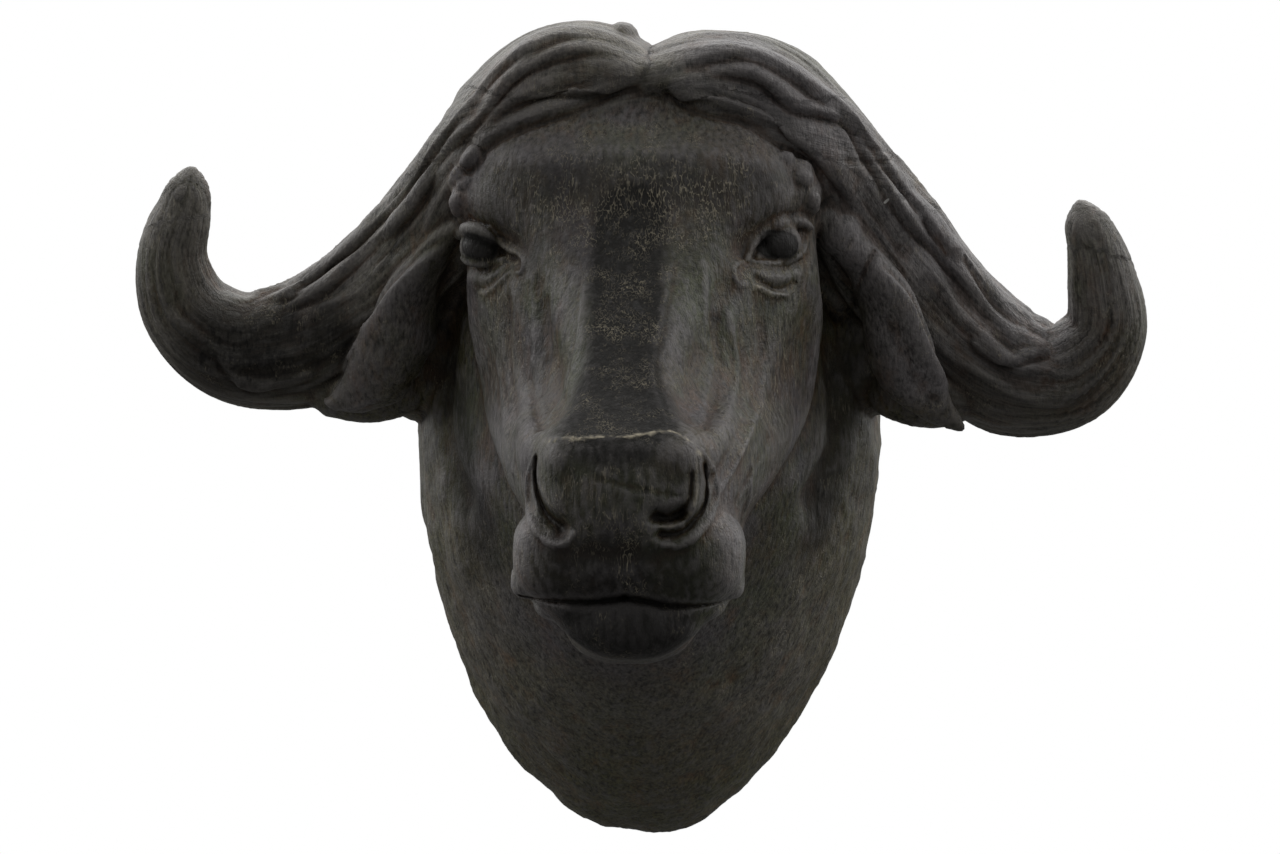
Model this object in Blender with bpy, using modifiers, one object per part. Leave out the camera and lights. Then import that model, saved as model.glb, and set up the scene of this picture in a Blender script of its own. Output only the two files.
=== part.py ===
"""Wall sculpture of a buffalo head, cast in one piece, to hang by its flat back.

The wall is the plane y = 0, the face looks along -Y, and left and right are the viewer's. All sizes
are in metres. The head is worked as clay is: the main forms first, then lumps and rolls laid on,
then crests raised and creases pressed in, and last the skin is turned into flat facets.
"""

from collections import namedtuple

import bmesh
import bpy
import numpy as np
from mathutils import Vector
from mathutils.bvhtree import BVHTree

# Clay that is laid on or taken off. Lines are x, z points seen from the front.
Lump = namedtuple("Lump", "middle radii fullness", defaults=(2.0,))
Stroke = namedtuple("Stroke", "height width line")
Fold = namedtuple("Fold", "height width line")
Roll = namedtuple("Roll", "half_at_start half_at_end line")
Cut = namedtuple("Cut", "depths widths line")

# How fine the clay is worked and how many facets the solid keeps
FORM_VOXEL = 0.005
FORM_SMOOTHING = 4
DETAIL_VOXEL = 0.0040
DETAIL_SMOOTHING = 2
FACETS = 9700
SHORTEST_EDGE = 0.0008
WALL_TOLERANCE = 0.00001

# Neck: half width, reach below and above the origin at the wall, length, and how it tapers
NECK_HALF_WIDTH = 0.247
NECK_DROP = 0.439
NECK_RISE = 0.285
NECK_LENGTH = 0.32
NECK_FULLNESS_LEFT = 1.96
NECK_FULLNESS_RIGHT = 1.76
NECK_NARROWING = (0.52, 1.7)
NECK_SHALLOWING = (0.58, 1.15)
NECK_RISING = 0.16
WALL_OVERRUN = 0.03

# Face, as heights with the value that belongs to each
NOSE_PROFILE = ((-0.215, -0.480), (-0.205, -0.530), (-0.185, -0.558), (-0.150, -0.572), (-0.125, -0.585),
                (-0.090, -0.596), (-0.050, -0.598), (-0.010, -0.590), (0.002, -0.572), (0.020, -0.547),
                (0.050, -0.513), (0.100, -0.467), (0.150, -0.426), (0.200, -0.396), (0.250, -0.380),
                (0.262, -0.375), (0.290, -0.354), (0.320, -0.336), (0.345, -0.326), (0.370, -0.300))
BRIDGE_HALF_WIDTH = ((-0.215, 0.012), (-0.185, 0.028), (-0.150, 0.042), (-0.125, 0.050), (-0.090, 0.048),
                     (-0.050, 0.056), (-0.005, 0.056), (0.020, 0.040), (0.050, 0.034), (0.100, 0.042),
                     (0.150, 0.052), (0.200, 0.060), (0.370, 0.050))
BRIDGE_CROWN = 0.2
FACE_HALF_WIDTH = ((-0.215, 0.022), (-0.205, 0.038), (-0.185, 0.054), (-0.166, 0.066), (-0.157, 0.078),
                   (-0.148, 0.092), (-0.120, 0.100), (-0.088, 0.0965), (-0.050, 0.126), (0.007, 0.1525),
                   (0.045, 0.164), (0.084, 0.170), (0.130, 0.176), (0.175, 0.174), (0.215, 0.1765),
                   (0.255, 0.170), (0.300, 0.155), (0.345, 0.125), (0.370, 0.090))
CHEEK_DEPTH = ((-0.225, -0.440), (-0.185, -0.480), (-0.150, -0.500), (-0.120, -0.500), (-0.088, -0.410),
               (-0.050, -0.345), (0.007, -0.300), (0.084, -0.285), (0.175, -0.285), (0.215, -0.275),
               (0.255, -0.245), (0.345, -0.190), (0.370, -0.170))
CHEEK_FULLNESS = ((-0.225, 2.0), (-0.150, 2.2), (-0.120, 2.3), (-0.088, 1.9), (-0.050, 1.45), (0.007, 1.2),
                  (0.084, 1.2), (0.130, 1.35), (0.175, 1.55), (0.215, 2.1), (0.370, 2.2))
CHEEK_DRIFT = ((-0.225, 0.004), (-0.120, 0.007), (-0.050, 0.014), (0.007, 0.0175), (0.045, 0.017),
               (0.084, 0.012), (0.130, 0.007), (0.200, 0.0), (0.370, 0.0))
JAW_BACK = ((-0.225, -0.400), (-0.185, -0.340), (-0.150, -0.300), (-0.100, -0.220), (-0.050, -0.160),
            (0.000, -0.120), (0.100, -0.100), (0.370, -0.100))
NAPE_FULLNESS = 0.7

# Muzzle: pad of the nose, two halves and middle of the upper lip, lower lip, chin
MUZZLE = (
    Lump((0.003, -0.546, -0.058), (0.072, 0.058, 0.056), 2.6),
    Lump((-0.045, -0.523, -0.113), (0.052, 0.055, 0.043), 3.0),
    Lump((0.055, -0.523, -0.114), (0.055, 0.055, 0.044), 3.0),
    Lump((0.004, -0.540, -0.108), (0.060, 0.046, 0.045)),
    Lump((0.008, -0.520, -0.164), (0.070, 0.052, 0.024), 2.2),
    Lump((0.008, -0.522, -0.176), (0.054, 0.052, 0.033), 2.1),
)

# Horns, as x, y, z of the middle line, then half the thickness seen from the front and from the side
LEFT_HORN = ((0.010, -0.245, 0.337, 0.036, 0.098), (-0.046, -0.245, 0.351, 0.048, 0.106),
             (-0.086, -0.243, 0.344, 0.049, 0.106), (-0.126, -0.235, 0.309, 0.054, 0.098),
             (-0.160, -0.218, 0.260, 0.060, 0.085), (-0.230, -0.180, 0.172, 0.067, 0.068),
             (-0.279, -0.158, 0.130, 0.068, 0.062), (-0.364, -0.145, 0.086, 0.069, 0.057),
             (-0.421, -0.155, 0.085, 0.059, 0.052), (-0.468, -0.180, 0.120, 0.047, 0.044),
             (-0.477, -0.205, 0.175, 0.036, 0.035), (-0.463, -0.218, 0.220, 0.028, 0.027),
             (-0.455, -0.224, 0.250, 0.016, 0.016), (-0.453, -0.226, 0.261, 0.004, 0.004))
RIGHT_HORN = ((0.008, -0.245, 0.332, 0.036, 0.098), (0.070, -0.245, 0.342, 0.047, 0.106),
              (0.128, -0.238, 0.329, 0.049, 0.102), (0.170, -0.226, 0.289, 0.054, 0.092),
              (0.201, -0.206, 0.242, 0.060, 0.080), (0.240, -0.180, 0.188, 0.067, 0.068),
              (0.283, -0.162, 0.136, 0.068, 0.062), (0.328, -0.150, 0.091, 0.069, 0.059),
              (0.379, -0.147, 0.060, 0.068, 0.056), (0.434, -0.160, 0.059, 0.057, 0.050),
              (0.467, -0.185, 0.099, 0.041, 0.040), (0.464, -0.205, 0.145, 0.035, 0.034),
              (0.455, -0.218, 0.185, 0.028, 0.027), (0.446, -0.224, 0.209, 0.018, 0.018),
              (0.443, -0.226, 0.220, 0.004, 0.004))
HORN_RIDGES = 12
HORN_RIDGE_HEIGHT = 0.0048
HORN_FULL_RIDGES_FROM = 0.045
HORN_RIDGE_LEVEL = 0.64
HORN_RIDGE_WANDERS = ((0.20, 13.0, 2.0), (0.10, 31.0, 3.0))

# Ears, as x, y, z of the middle line, then half the width and half the thickness of the leaf
LEFT_EAR = ((-0.172, -0.268, 0.200, 0.010, 0.016), (-0.193, -0.258, 0.186, 0.014, 0.018),
            (-0.211, -0.247, 0.157, 0.021, 0.020), (-0.229, -0.237, 0.126, 0.028, 0.019),
            (-0.240, -0.229, 0.088, 0.035, 0.017), (-0.258, -0.221, 0.055, 0.038, 0.015),
            (-0.281, -0.212, 0.034, 0.028, 0.012), (-0.302, -0.205, 0.023, 0.014, 0.009),
            (-0.316, -0.202, 0.019, 0.004, 0.005))
RIGHT_EAR = ((0.205, -0.258, 0.186, 0.012, 0.014), (0.221, -0.252, 0.164, 0.018, 0.018),
             (0.244, -0.243, 0.127, 0.027, 0.020), (0.257, -0.235, 0.084, 0.032, 0.018),
             (0.270, -0.227, 0.052, 0.030, 0.015), (0.289, -0.216, 0.027, 0.022, 0.012),
             (0.308, -0.206, 0.010, 0.012, 0.009), (0.323, -0.199, -0.003, 0.004, 0.005))
EAR_BULGE = 0.22
EAR_ROLL_BACK = 0.35

# Clay that joins the ears and horns to the neck
BEDS = (
    Lump((-0.215, -0.115, 0.075), (0.085, 0.070, 0.070)),
    Lump((0.213, -0.115, 0.078), (0.080, 0.070, 0.068)),
    Lump((-0.170, -0.130, 0.150), (0.060, 0.065, 0.060)),
    Lump((0.180, -0.130, 0.150), (0.060, 0.065, 0.060)),
    Lump((-0.285, -0.155, 0.046), (0.070, 0.035, 0.040)),
    Lump((0.290, -0.160, 0.044), (0.065, 0.035, 0.044)),
    Lump((0.000, -0.130, 0.285), (0.110, 0.075, 0.060)),
)

# Brow knobs, corners of the upper lip, a knob on the boss and the root of the right ear
KNOBS = (
    Lump((-0.157, -0.306, 0.224), (0.023, 0.030, 0.028)),
    Lump((-0.148, -0.320, 0.251), (0.015, 0.016, 0.011)),
    Lump((-0.164, -0.304, 0.238), (0.014, 0.020, 0.013)),
    Lump((0.155, -0.306, 0.226), (0.025, 0.030, 0.026)),
    Lump((0.152, -0.318, 0.248), (0.022, 0.018, 0.012)),
    Lump((0.168, -0.296, 0.230), (0.013, 0.022, 0.020)),
    Lump((-0.080, -0.512, -0.137), (0.020, 0.036, 0.017), 3.0),
    Lump((0.089, -0.512, -0.138), (0.020, 0.036, 0.017), 3.0),
    Lump((-0.013, -0.272, 0.384), (0.013, 0.035, 0.012)),
    Lump((0.186, -0.262, 0.205), (0.019, 0.024, 0.019)),
    Lump((0.199, -0.262, 0.189), (0.022, 0.026, 0.022)),
    Lump((0.212, -0.256, 0.173), (0.019, 0.024, 0.019)),
)
EYEBALLS = (Lump((-0.142, -0.331, 0.173), (0.0255, 0.0255, 0.0255)),
            Lump((0.1365, -0.333, 0.1765), (0.0245, 0.0245, 0.0245)))

# Sides of the jaw, cheek and temple, as strokes whose lines are y, z points seen from both sides
SIDE_FORMS = (
    Stroke(0.005, 0.022, ((-0.480, -0.195), (-0.400, -0.165), (-0.330, -0.110), (-0.280, -0.050))),
    Stroke(0.008, 0.050, ((-0.270, 0.060), (-0.265, 0.000), (-0.290, -0.050))),
    Stroke(-0.006, 0.022, ((-0.240, 0.215), (-0.250, 0.175), (-0.265, 0.140))),
    Stroke(-0.010, 0.018, ((-0.205, 0.080), (-0.205, 0.000), (-0.235, -0.070))),
)

# Eye sockets, edge of the forehead, cheek bones and the hollows beside the bridge of the nose
FORMS = (
    Stroke(-0.012, 0.025, ((-0.166, 0.180), (-0.145, 0.176), (-0.120, 0.166))),
    Stroke(-0.014, 0.023, ((0.152, 0.182), (0.133, 0.177), (0.114, 0.168))),
    Stroke(0.003, 0.012, ((-0.150, 0.254), (-0.068, 0.255), (0.008, 0.261), (0.084, 0.256),
                          (0.150, 0.250))),
    Stroke(0.004, 0.018, ((-0.140, 0.110), (-0.108, 0.040), (-0.085, -0.020))),
    Stroke(0.004, 0.018, ((0.145, 0.110), (0.120, 0.040), (0.098, -0.015))),
    Stroke(-0.006, 0.018, ((-0.090, 0.130), (-0.070, 0.060), (-0.062, 0.010))),
    Stroke(-0.006, 0.018, ((0.090, 0.130), (0.068, 0.060), (0.060, 0.010))),
)

# Upper and lower eyelids and tear ducts, rims of the nostrils, top edge of the nose pad
ROLLS = (
    Roll(0.0070, 0.0052, ((-0.176, 0.194), (-0.160, 0.194), (-0.147, 0.190), (-0.132, 0.179))),
    Roll(0.0045, 0.0035, ((-0.142, 0.190), (-0.130, 0.180), (-0.118, 0.170), (-0.107, 0.165),
                          (-0.101, 0.155), (-0.104, 0.146))),
    Roll(0.0040, 0.0036, ((-0.168, 0.165), (-0.160, 0.158), (-0.148, 0.156), (-0.134, 0.158),
                          (-0.118, 0.163))),
    Roll(0.0040, 0.0068, ((0.109, 0.157), (0.115, 0.178), (0.128, 0.194), (0.146, 0.203),
                          (0.160, 0.203), (0.170, 0.197))),
    Roll(0.0036, 0.0040, ((0.113, 0.156), (0.130, 0.155), (0.146, 0.157), (0.158, 0.164), (0.166, 0.176))),
    Roll(0.0036, 0.0034, ((0.108, 0.158), (0.099, 0.152), (0.097, 0.142), (0.102, 0.132))),
    Roll(0.0040, 0.0060, ((-0.074, -0.022), (-0.080, -0.044), (-0.080, -0.068), (-0.071, -0.088),
                          (-0.057, -0.099), (-0.044, -0.098))),
    Roll(0.0040, 0.0060, ((0.072, -0.018), (0.081, -0.040), (0.082, -0.066), (0.072, -0.086),
                          (0.056, -0.100), (0.038, -0.101))),
    Roll(0.0030, 0.0030, ((-0.062, -0.010), (-0.030, -0.010), (0.010, -0.009), (0.040, -0.004),
                          (0.058, -0.010), (0.070, -0.022))),
)

# Wavy crests of the boss and the horns. The steep side of each is on the right of the way it runs.
FOLD_STEEPNESS = 0.22
FOLD_UNDERCUT = 0.35
FOLD_GROOVE_AT = 2.2
FOLD_ENDS = 0.15
FOLDS = (
    Fold(0.0065, 0.018, ((-0.409, 0.126), (-0.356, 0.137), (-0.312, 0.166), (-0.269, 0.199),
                         (-0.233, 0.224), (-0.210, 0.253), (-0.180, 0.287), (-0.151, 0.312),
                         (-0.127, 0.340), (-0.096, 0.362), (-0.063, 0.373), (-0.016, 0.372))),
    Fold(0.0060, 0.016, ((-0.389, 0.117), (-0.332, 0.132), (-0.302, 0.156), (-0.256, 0.189),
                         (-0.218, 0.221), (-0.203, 0.247), (-0.173, 0.281), (-0.143, 0.301),
                         (-0.119, 0.333), (-0.085, 0.351), (-0.045, 0.360), (-0.003, 0.351))),
    Fold(0.0065, 0.018, ((-0.192, 0.223), (-0.163, 0.252), (-0.137, 0.277), (-0.096, 0.295),
                         (-0.053, 0.311), (-0.016, 0.327), (0.016, 0.336))),
    Fold(0.0065, 0.018, ((0.026, 0.336), (0.055, 0.348), (0.102, 0.355), (0.145, 0.340), (0.189, 0.310),
                         (0.228, 0.270), (0.279, 0.210), (0.335, 0.147), (0.380, 0.102))),
    Fold(0.0065, 0.016, ((0.064, 0.342), (0.117, 0.335), (0.145, 0.314), (0.160, 0.305), (0.198, 0.298),
                         (0.220, 0.269), (0.258, 0.213), (0.319, 0.151), (0.345, 0.109))),
    Fold(0.0065, 0.018, ((0.026, 0.331), (0.064, 0.308), (0.107, 0.296), (0.150, 0.271), (0.174, 0.257),
                         (0.191, 0.225))),
    Fold(0.0050, 0.016, ((-0.431, 0.078), (-0.403, 0.043), (-0.365, 0.046), (-0.326, 0.058))),
    Fold(0.0060, 0.014, ((0.328, 0.092), (0.345, 0.075), (0.370, 0.065), (0.410, 0.077))),
)

# Nostrils, mouth, bags under the eyes, creases beside the nose and the notch in the boss
CUTS = (
    Cut((0.004, 0.024), (0.003, 0.009), ((-0.071, -0.028), (-0.071, -0.046), (-0.067, -0.063),
        (-0.060, -0.077), (-0.050, -0.087))),
    Cut((0.008, 0.012), (0.003, 0.005), ((0.0745, -0.034), (0.0755, -0.052), (0.0725, -0.070),
        (0.062, -0.086), (0.050, -0.093), (0.038, -0.093))),
    Cut((0.020, 0.020), (0.007, 0.006), ((0.054, -0.076), (0.044, -0.079), (0.034, -0.078))),
    Cut((0.007, 0.012), (0.0035, 0.004), ((-0.084, -0.151), (-0.065, -0.153), (-0.033, -0.154),
        (-0.014, -0.153), (0.004, -0.150))),
    Cut((0.012, 0.007), (0.004, 0.0035), ((0.004, -0.150), (0.024, -0.153), (0.041, -0.157),
        (0.071, -0.157), (0.094, -0.154))),
    Cut((0.004, 0.006), (0.004, 0.004), ((-0.154, 0.136), (-0.141, 0.134), (-0.130, 0.142),
        (-0.119, 0.153))),
    Cut((0.006, 0.006), (0.004, 0.004), ((0.117, 0.141), (0.129, 0.133), (0.140, 0.131), (0.152, 0.137))),
    Cut((0.005, 0.005), (0.005, 0.005), ((0.114, 0.004), (0.100, -0.030), (0.084, -0.060))),
    Cut((0.005, 0.005), (0.006, 0.005), ((0.129, -0.010), (0.117, -0.035), (0.100, -0.066))),
    Cut((0.004, 0.004), (0.005, 0.005), ((-0.102, -0.002), (-0.098, -0.035), (-0.088, -0.070))),
    Cut((0.006, 0.004), (0.004, 0.004), ((0.232, 0.172), (0.220, 0.146), (0.210, 0.118))),
    Cut((0.006, 0.006), (0.006, 0.006), ((0.005, 0.400), (0.013, 0.360))),
)

# Dark bronze-look patina
PATINA_COLOUR = (0.055, 0.050, 0.042, 1.0)
PATINA_ROUGHNESS = 0.5

# Points in each ring of a shell, rings in a shell, and where strokes are aimed from
HEAD_RINGS = 110
HEAD_POINTS = 70
BRIDGE_POINTS = 7
CHEEK_POINTS = 24
NAPE_POINTS = 12
NECK_RINGS = 26
NECK_POINTS = 96
SWEEP_RINGS = 120
HORN_POINTS = 120
EAR_POINTS = 40
ROLL_POINTS = 12
BALL_SEGMENTS = (40, 26)
STEPS_PER_POINT = 7
OUTSIDE = 2.0
OUT_OF_REACH = 9.0
REACH_IN_WIDTHS = 3.0


def through(keys, at):
    """Values at the given places of a smooth curve through rows of place and values."""
    keys = np.asarray(keys, dtype=float)
    at = np.asarray(at, dtype=float)
    places = keys[:, 0]
    values = keys[:, 1:]
    slopes = np.gradient(values, places, axis=0)
    first = np.clip(np.searchsorted(places, at) - 1, 0, len(places) - 2)
    span = (places[first + 1] - places[first])[:, None]
    part = np.clip((at - places[first])[:, None] / span, 0.0, 1.0)
    start = (1 + 2 * part) * (1 - part) ** 2 * values[first] + part * (1 - part) ** 2 * span * slopes[first]
    end = part ** 2 * (3 - 2 * part) * values[first + 1] - part ** 2 * (1 - part) * span * slopes[first + 1]
    return start + end


def lengths_along(points):
    """Distance from the first point to each point, measured along the line."""
    steps = np.linalg.norm(np.diff(points, axis=0), axis=1)
    return np.concatenate(([0.0], np.cumsum(steps)))


def resampled(points, count):
    """The open line through the points, cut into evenly long steps."""
    along = lengths_along(points)
    wanted = np.linspace(0.0, along[-1], count)
    return np.stack([np.interp(wanted, along, points[:, axis]) for axis in range(points.shape[1])], axis=1)


def eased(values):
    """Zero below 0, one above 1, and an even ease between them."""
    part = np.clip(values, 0.0, 1.0)
    return part * part * (3 - 2 * part)


def lofted(rings):
    """A closed shell through rings of points, with its two ends filled."""
    around = rings.shape[1]
    model = bmesh.new()
    rows = [[model.verts.new(point) for point in ring] for ring in rings]
    for low, high in zip(rows[:-1], rows[1:]):
        for side in range(around):
            after = (side + 1) % around
            model.faces.new((low[side], low[after], high[after], high[side]))
    model.faces.new(rows[0][::-1])
    model.faces.new(rows[-1])
    bmesh.ops.recalc_face_normals(model, faces=model.faces)
    return shell(model)


def shell(model):
    """The bmesh as an object that is in no collection yet."""
    mesh = bpy.data.meshes.new("shell")
    model.to_mesh(mesh)
    model.free()
    return bpy.data.objects.new("shell", mesh)


def half_section(nose, bridge, width, depth, fullness, back):
    """One side of a level section of the head, from the middle of the nose to the middle of the nape."""
    front = np.linspace(0.0, 1.0, BRIDGE_POINTS, endpoint=False)
    turn = np.linspace(0.0, np.pi / 2, CHEEK_POINTS)
    rear = np.linspace(0.0, np.pi / 2, NAPE_POINTS)[1:]
    crown = BRIDGE_CROWN * bridge
    bridge_line = np.stack((bridge * front, nose + crown * front ** 2), axis=1)
    cheek_line = np.stack((bridge + (width - bridge) * np.sin(turn) ** (2.0 / fullness),
                           depth - (depth - nose - crown) * np.cos(turn) ** (2.0 / fullness)), axis=1)
    back_line = np.stack((width * np.cos(rear) ** NAPE_FULLNESS, depth + (back - depth) * np.sin(rear)), axis=1)
    return resampled(np.concatenate((bridge_line, cheek_line, back_line)), HEAD_POINTS)


def head_rings():
    """Level sections of the head, from the underside of the chin to the top of the skull."""
    heights = np.linspace(NOSE_PROFILE[0][0], NOSE_PROFILE[-1][0], HEAD_RINGS)
    curves = (NOSE_PROFILE, BRIDGE_HALF_WIDTH, FACE_HALF_WIDTH, CHEEK_DEPTH, CHEEK_FULLNESS, JAW_BACK)
    sizes = np.column_stack([through(curve, heights) for curve in curves])
    drift = through(CHEEK_DRIFT, heights)[:, 0]
    rings = []
    for row, height in enumerate(heights):
        half = half_section(*sizes[row])
        mirrored = half[-2:0:-1] * (-1.0, 1.0)
        ring = np.concatenate((half, mirrored))
        ring[:, 0] += drift[row] * np.abs(ring[:, 0]) / sizes[row, 2]
        rings.append(np.column_stack((ring, np.full(len(ring), height))))
    return np.array(rings)


def neck_rings():
    """Upright sections of the neck, from behind the wall plane to inside the head."""
    turn = np.linspace(0.0, 2 * np.pi, NECK_POINTS, endpoint=False)
    power = 2.0 / np.where(np.cos(turn) < 0, NECK_FULLNESS_LEFT, NECK_FULLNESS_RIGHT)
    side = np.sign(np.cos(turn)) * np.abs(np.cos(turn)) ** power
    upright = np.sign(np.sin(turn)) * np.abs(np.sin(turn)) ** power
    rings = []
    for part in np.linspace(-WALL_OVERRUN / NECK_LENGTH, 1.0, NECK_RINGS):
        depth = max(part, 0.0)
        width = NECK_HALF_WIDTH * (1.0 - NECK_NARROWING[0] * depth ** NECK_NARROWING[1])
        drop = NECK_DROP * (1.0 - NECK_SHALLOWING[0] * depth ** NECK_SHALLOWING[1])
        rise = NECK_RISE * (1.0 + NECK_RISING * depth)
        height = np.where(upright < 0, drop * upright, rise * upright)
        rings.append(np.column_stack((width * side, np.full(len(turn), -part * NECK_LENGTH), height)))
    return np.array(rings)


def swept_rings(keys, around, section):
    """Rings square to a middle line; section gives each ring's two offsets from place and angle."""
    keys = np.asarray(keys, dtype=float)
    along = lengths_along(keys[:, :3])
    places = np.linspace(0.0, along[-1], SWEEP_RINGS)
    rows = through(np.column_stack((along, keys)), places)
    heading = np.gradient(rows[:, :3], places, axis=0)
    heading /= np.linalg.norm(heading, axis=1)[:, None]
    upward = np.cross(heading, (0.0, 1.0, 0.0))
    upward /= np.linalg.norm(upward, axis=1)[:, None]
    backward = np.cross(upward, heading)
    turn = np.linspace(0.0, 2 * np.pi, around, endpoint=False)
    rings = []
    for row, place in enumerate(places):
        across, deep = section(rows[row, 3], rows[row, 4], place, turn)
        rings.append(rows[row, :3] + across[:, None] * upward[row] + deep[:, None] * backward[row])
    return np.array(rings)


def horn_section(half_height, half_depth, place, turn):
    """An oval with wavy, sharp-crested ridges that run along the horn."""
    wander = sum(swing * np.sin(along * place + about * turn) for swing, along, about in HORN_RIDGE_WANDERS)
    crest = HORN_RIDGE_LEVEL - np.abs(np.sin(0.5 * HORN_RIDGES * (turn + wander)))
    ridge = HORN_RIDGE_HEIGHT * crest * min(1.0, half_height / HORN_FULL_RIDGES_FROM)
    return (half_height + ridge) * np.cos(turn), (half_depth + ridge) * np.sin(turn)


def ear_section(roll_back):
    """The section of a leaf that bulges forwards and rolls back on one side, beside the cheek."""
    def section(half_width, half_thickness, place, turn):
        across = np.cos(turn)
        bend = EAR_BULGE * (across ** 2 - 0.5) + roll_back * across
        return half_width * across, half_thickness * np.sin(turn) + half_width * bend
    return section


def round_section(half_height, half_depth, place, turn):
    """A plain round section."""
    return half_height * np.cos(turn), half_depth * np.sin(turn)


def laid_up(lump):
    """An egg-shaped lump of clay, boxier as its fullness rises above 2."""
    model = bmesh.new()
    bmesh.ops.create_uvsphere(model, u_segments=BALL_SEGMENTS[0], v_segments=BALL_SEGMENTS[1], radius=1.0)
    for vertex in model.verts:
        size = sum(abs(part) ** lump.fullness for part in vertex.co) ** (1.0 / lump.fullness)
        vertex.co /= size
    bmesh.ops.scale(model, vec=lump.radii, verts=model.verts)
    bmesh.ops.translate(model, vec=lump.middle, verts=model.verts)
    return shell(model)


def joined(shells):
    """One object that holds all the shells, which are used up."""
    model = bmesh.new()
    for one in shells:
        model.from_mesh(one.data)
        spent = one.data
        bpy.data.objects.remove(one)
        bpy.data.meshes.remove(spent)
    return shell(model)


def merged(shells, voxel, smoothing):
    """One closed skin around all the shells, worked smooth."""
    piece = joined(shells)
    remesh = piece.modifiers.new("remesh", "REMESH")
    remesh.mode = "VOXEL"
    remesh.voxel_size = voxel
    smooth = piece.modifiers.new("smooth", "SMOOTH")
    smooth.factor = 0.5
    smooth.iterations = smoothing
    return baked(piece)


def baked(piece):
    """The piece with its modifiers worked into its mesh."""
    bpy.context.scene.collection.objects.link(piece)
    graph = bpy.context.evaluated_depsgraph_get()
    shaped = bpy.data.meshes.new_from_object(piece.evaluated_get(graph))
    spent = piece.data
    piece.modifiers.clear()
    piece.data = shaped
    bpy.context.scene.collection.objects.unlink(piece)
    bpy.data.meshes.remove(spent)
    return piece


def surface(piece):
    """The surface of a piece, for laying lines on it."""
    corners = [vertex.co for vertex in piece.data.vertices]
    return BVHTree.FromPolygons(corners, [tuple(face.vertices) for face in piece.data.polygons])


def finely(line):
    """A smooth line through a few points, in even short steps."""
    keys = np.column_stack((np.arange(len(line)), line))
    curve = through(keys, np.linspace(0, len(line) - 1, STEPS_PER_POINT * len(line)))
    return resampled(curve, STEPS_PER_POINT * len(line))


def struck(tree, starts, heading):
    """The surface points that straight lines from the starts strike."""
    hits = [tree.ray_cast(Vector(start), Vector(heading))[0] for start in starts]
    return np.array([tuple(hit) for hit in hits if hit is not None])


def laid_in_front(tree, line):
    """The surface points straight behind the x, z points of a line."""
    return struck(tree, [(across, -OUTSIDE, height) for across, height in finely(line)], (0.0, 1.0, 0.0))


def laid_on_side(tree, line, side):
    """The surface points beside the y, z points of a line, on the left (-1) or the right (1)."""
    return struck(tree, [(OUTSIDE * side, deep, height) for deep, height in finely(line)], (-side, 0.0, 0.0))


def nearness(points, line, widths):
    """Each point's distance from the line in widths, place along it, and side: 1 on the left of its run."""
    best = np.full(len(points), OUT_OF_REACH)
    along = np.zeros(len(points))
    hand = np.ones(len(points))
    reach = REACH_IN_WIDTHS * max(widths)
    inside = np.all((points > line.min(axis=0) - reach) & (points < line.max(axis=0) + reach), axis=1)
    close = points[inside]
    nearest = best[inside]
    places = along[inside]
    hands = hand[inside]
    count = len(line) - 1
    for step in range(count):
        run = line[step + 1] - line[step]
        part = np.clip((close - line[step]) @ run / (run @ run), 0.0, 1.0)
        place = (step + part) / count
        gap = np.linalg.norm(close - line[step] - part[:, None] * run, axis=1)
        gap /= widths[0] + (widths[1] - widths[0]) * place
        better = gap < nearest
        nearest[better] = gap[better]
        places[better] = place[better]
        turned = run[0] * (close[:, 2] - line[step, 2]) - run[2] * (close[:, 0] - line[step, 0])
        hands[better] = np.where(turned[better] < 0.0, -1.0, 1.0)
    best[inside] = nearest
    along[inside] = places
    hand[inside] = hands
    return best, along, hand


def corners_of(piece, what):
    """The vertices' places ("co") or normals ("normal") as an array."""
    values = np.empty(len(piece.data.vertices) * 3)
    piece.data.vertices.foreach_get(what, values)
    return values.reshape(-1, 3)


def moved_to(piece, points):
    """Put the vertices of a piece at new places."""
    piece.data.vertices.foreach_set("co", points.ravel())
    piece.data.update()


def stroked(piece, strokes, lay):
    """Raise or hollow the surface softly; lay gives the surface lines of a stroke."""
    tree = surface(piece)
    points = corners_of(piece, "co")
    normals = corners_of(piece, "normal")
    moved = points.copy()
    for stroke in strokes:
        for line in lay(tree, stroke.line):
            near = nearness(points, line, (stroke.width, stroke.width))[0]
            moved += (stroke.height * np.exp(-near ** 2))[:, None] * normals
    moved_to(piece, moved)


def folded(piece, folds):
    """Raise crests that ease off on the left of their lines and drop steeply on the right."""
    tree = surface(piece)
    points = corners_of(piece, "co")
    normals = corners_of(piece, "normal")
    moved = points.copy()
    for fold in folds:
        near, along, hand = nearness(points, laid_in_front(tree, fold.line), (fold.width, fold.width))
        ends = eased(along / FOLD_ENDS) * eased((1.0 - along) / FOLD_ENDS)
        steep = np.exp(-(near / FOLD_STEEPNESS) ** 2)
        groove = FOLD_UNDERCUT * np.exp(-(near / FOLD_STEEPNESS - FOLD_GROOVE_AT) ** 2)
        rise = np.where(hand > 0, np.exp(-near ** 2), steep - groove)
        moved += (fold.height * ends * rise)[:, None] * normals
    moved_to(piece, moved)


def pressed(piece, cuts):
    """Press creases straight back into the surface."""
    tree = surface(piece)
    points = corners_of(piece, "co")
    moved = points.copy()
    for crease in cuts:
        near, along = nearness(points, laid_in_front(tree, crease.line), crease.widths)[:2]
        depth = crease.depths[0] + (crease.depths[1] - crease.depths[0]) * along
        moved[:, 1] += depth * np.exp(-near ** 2)
    moved_to(piece, moved)


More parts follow.
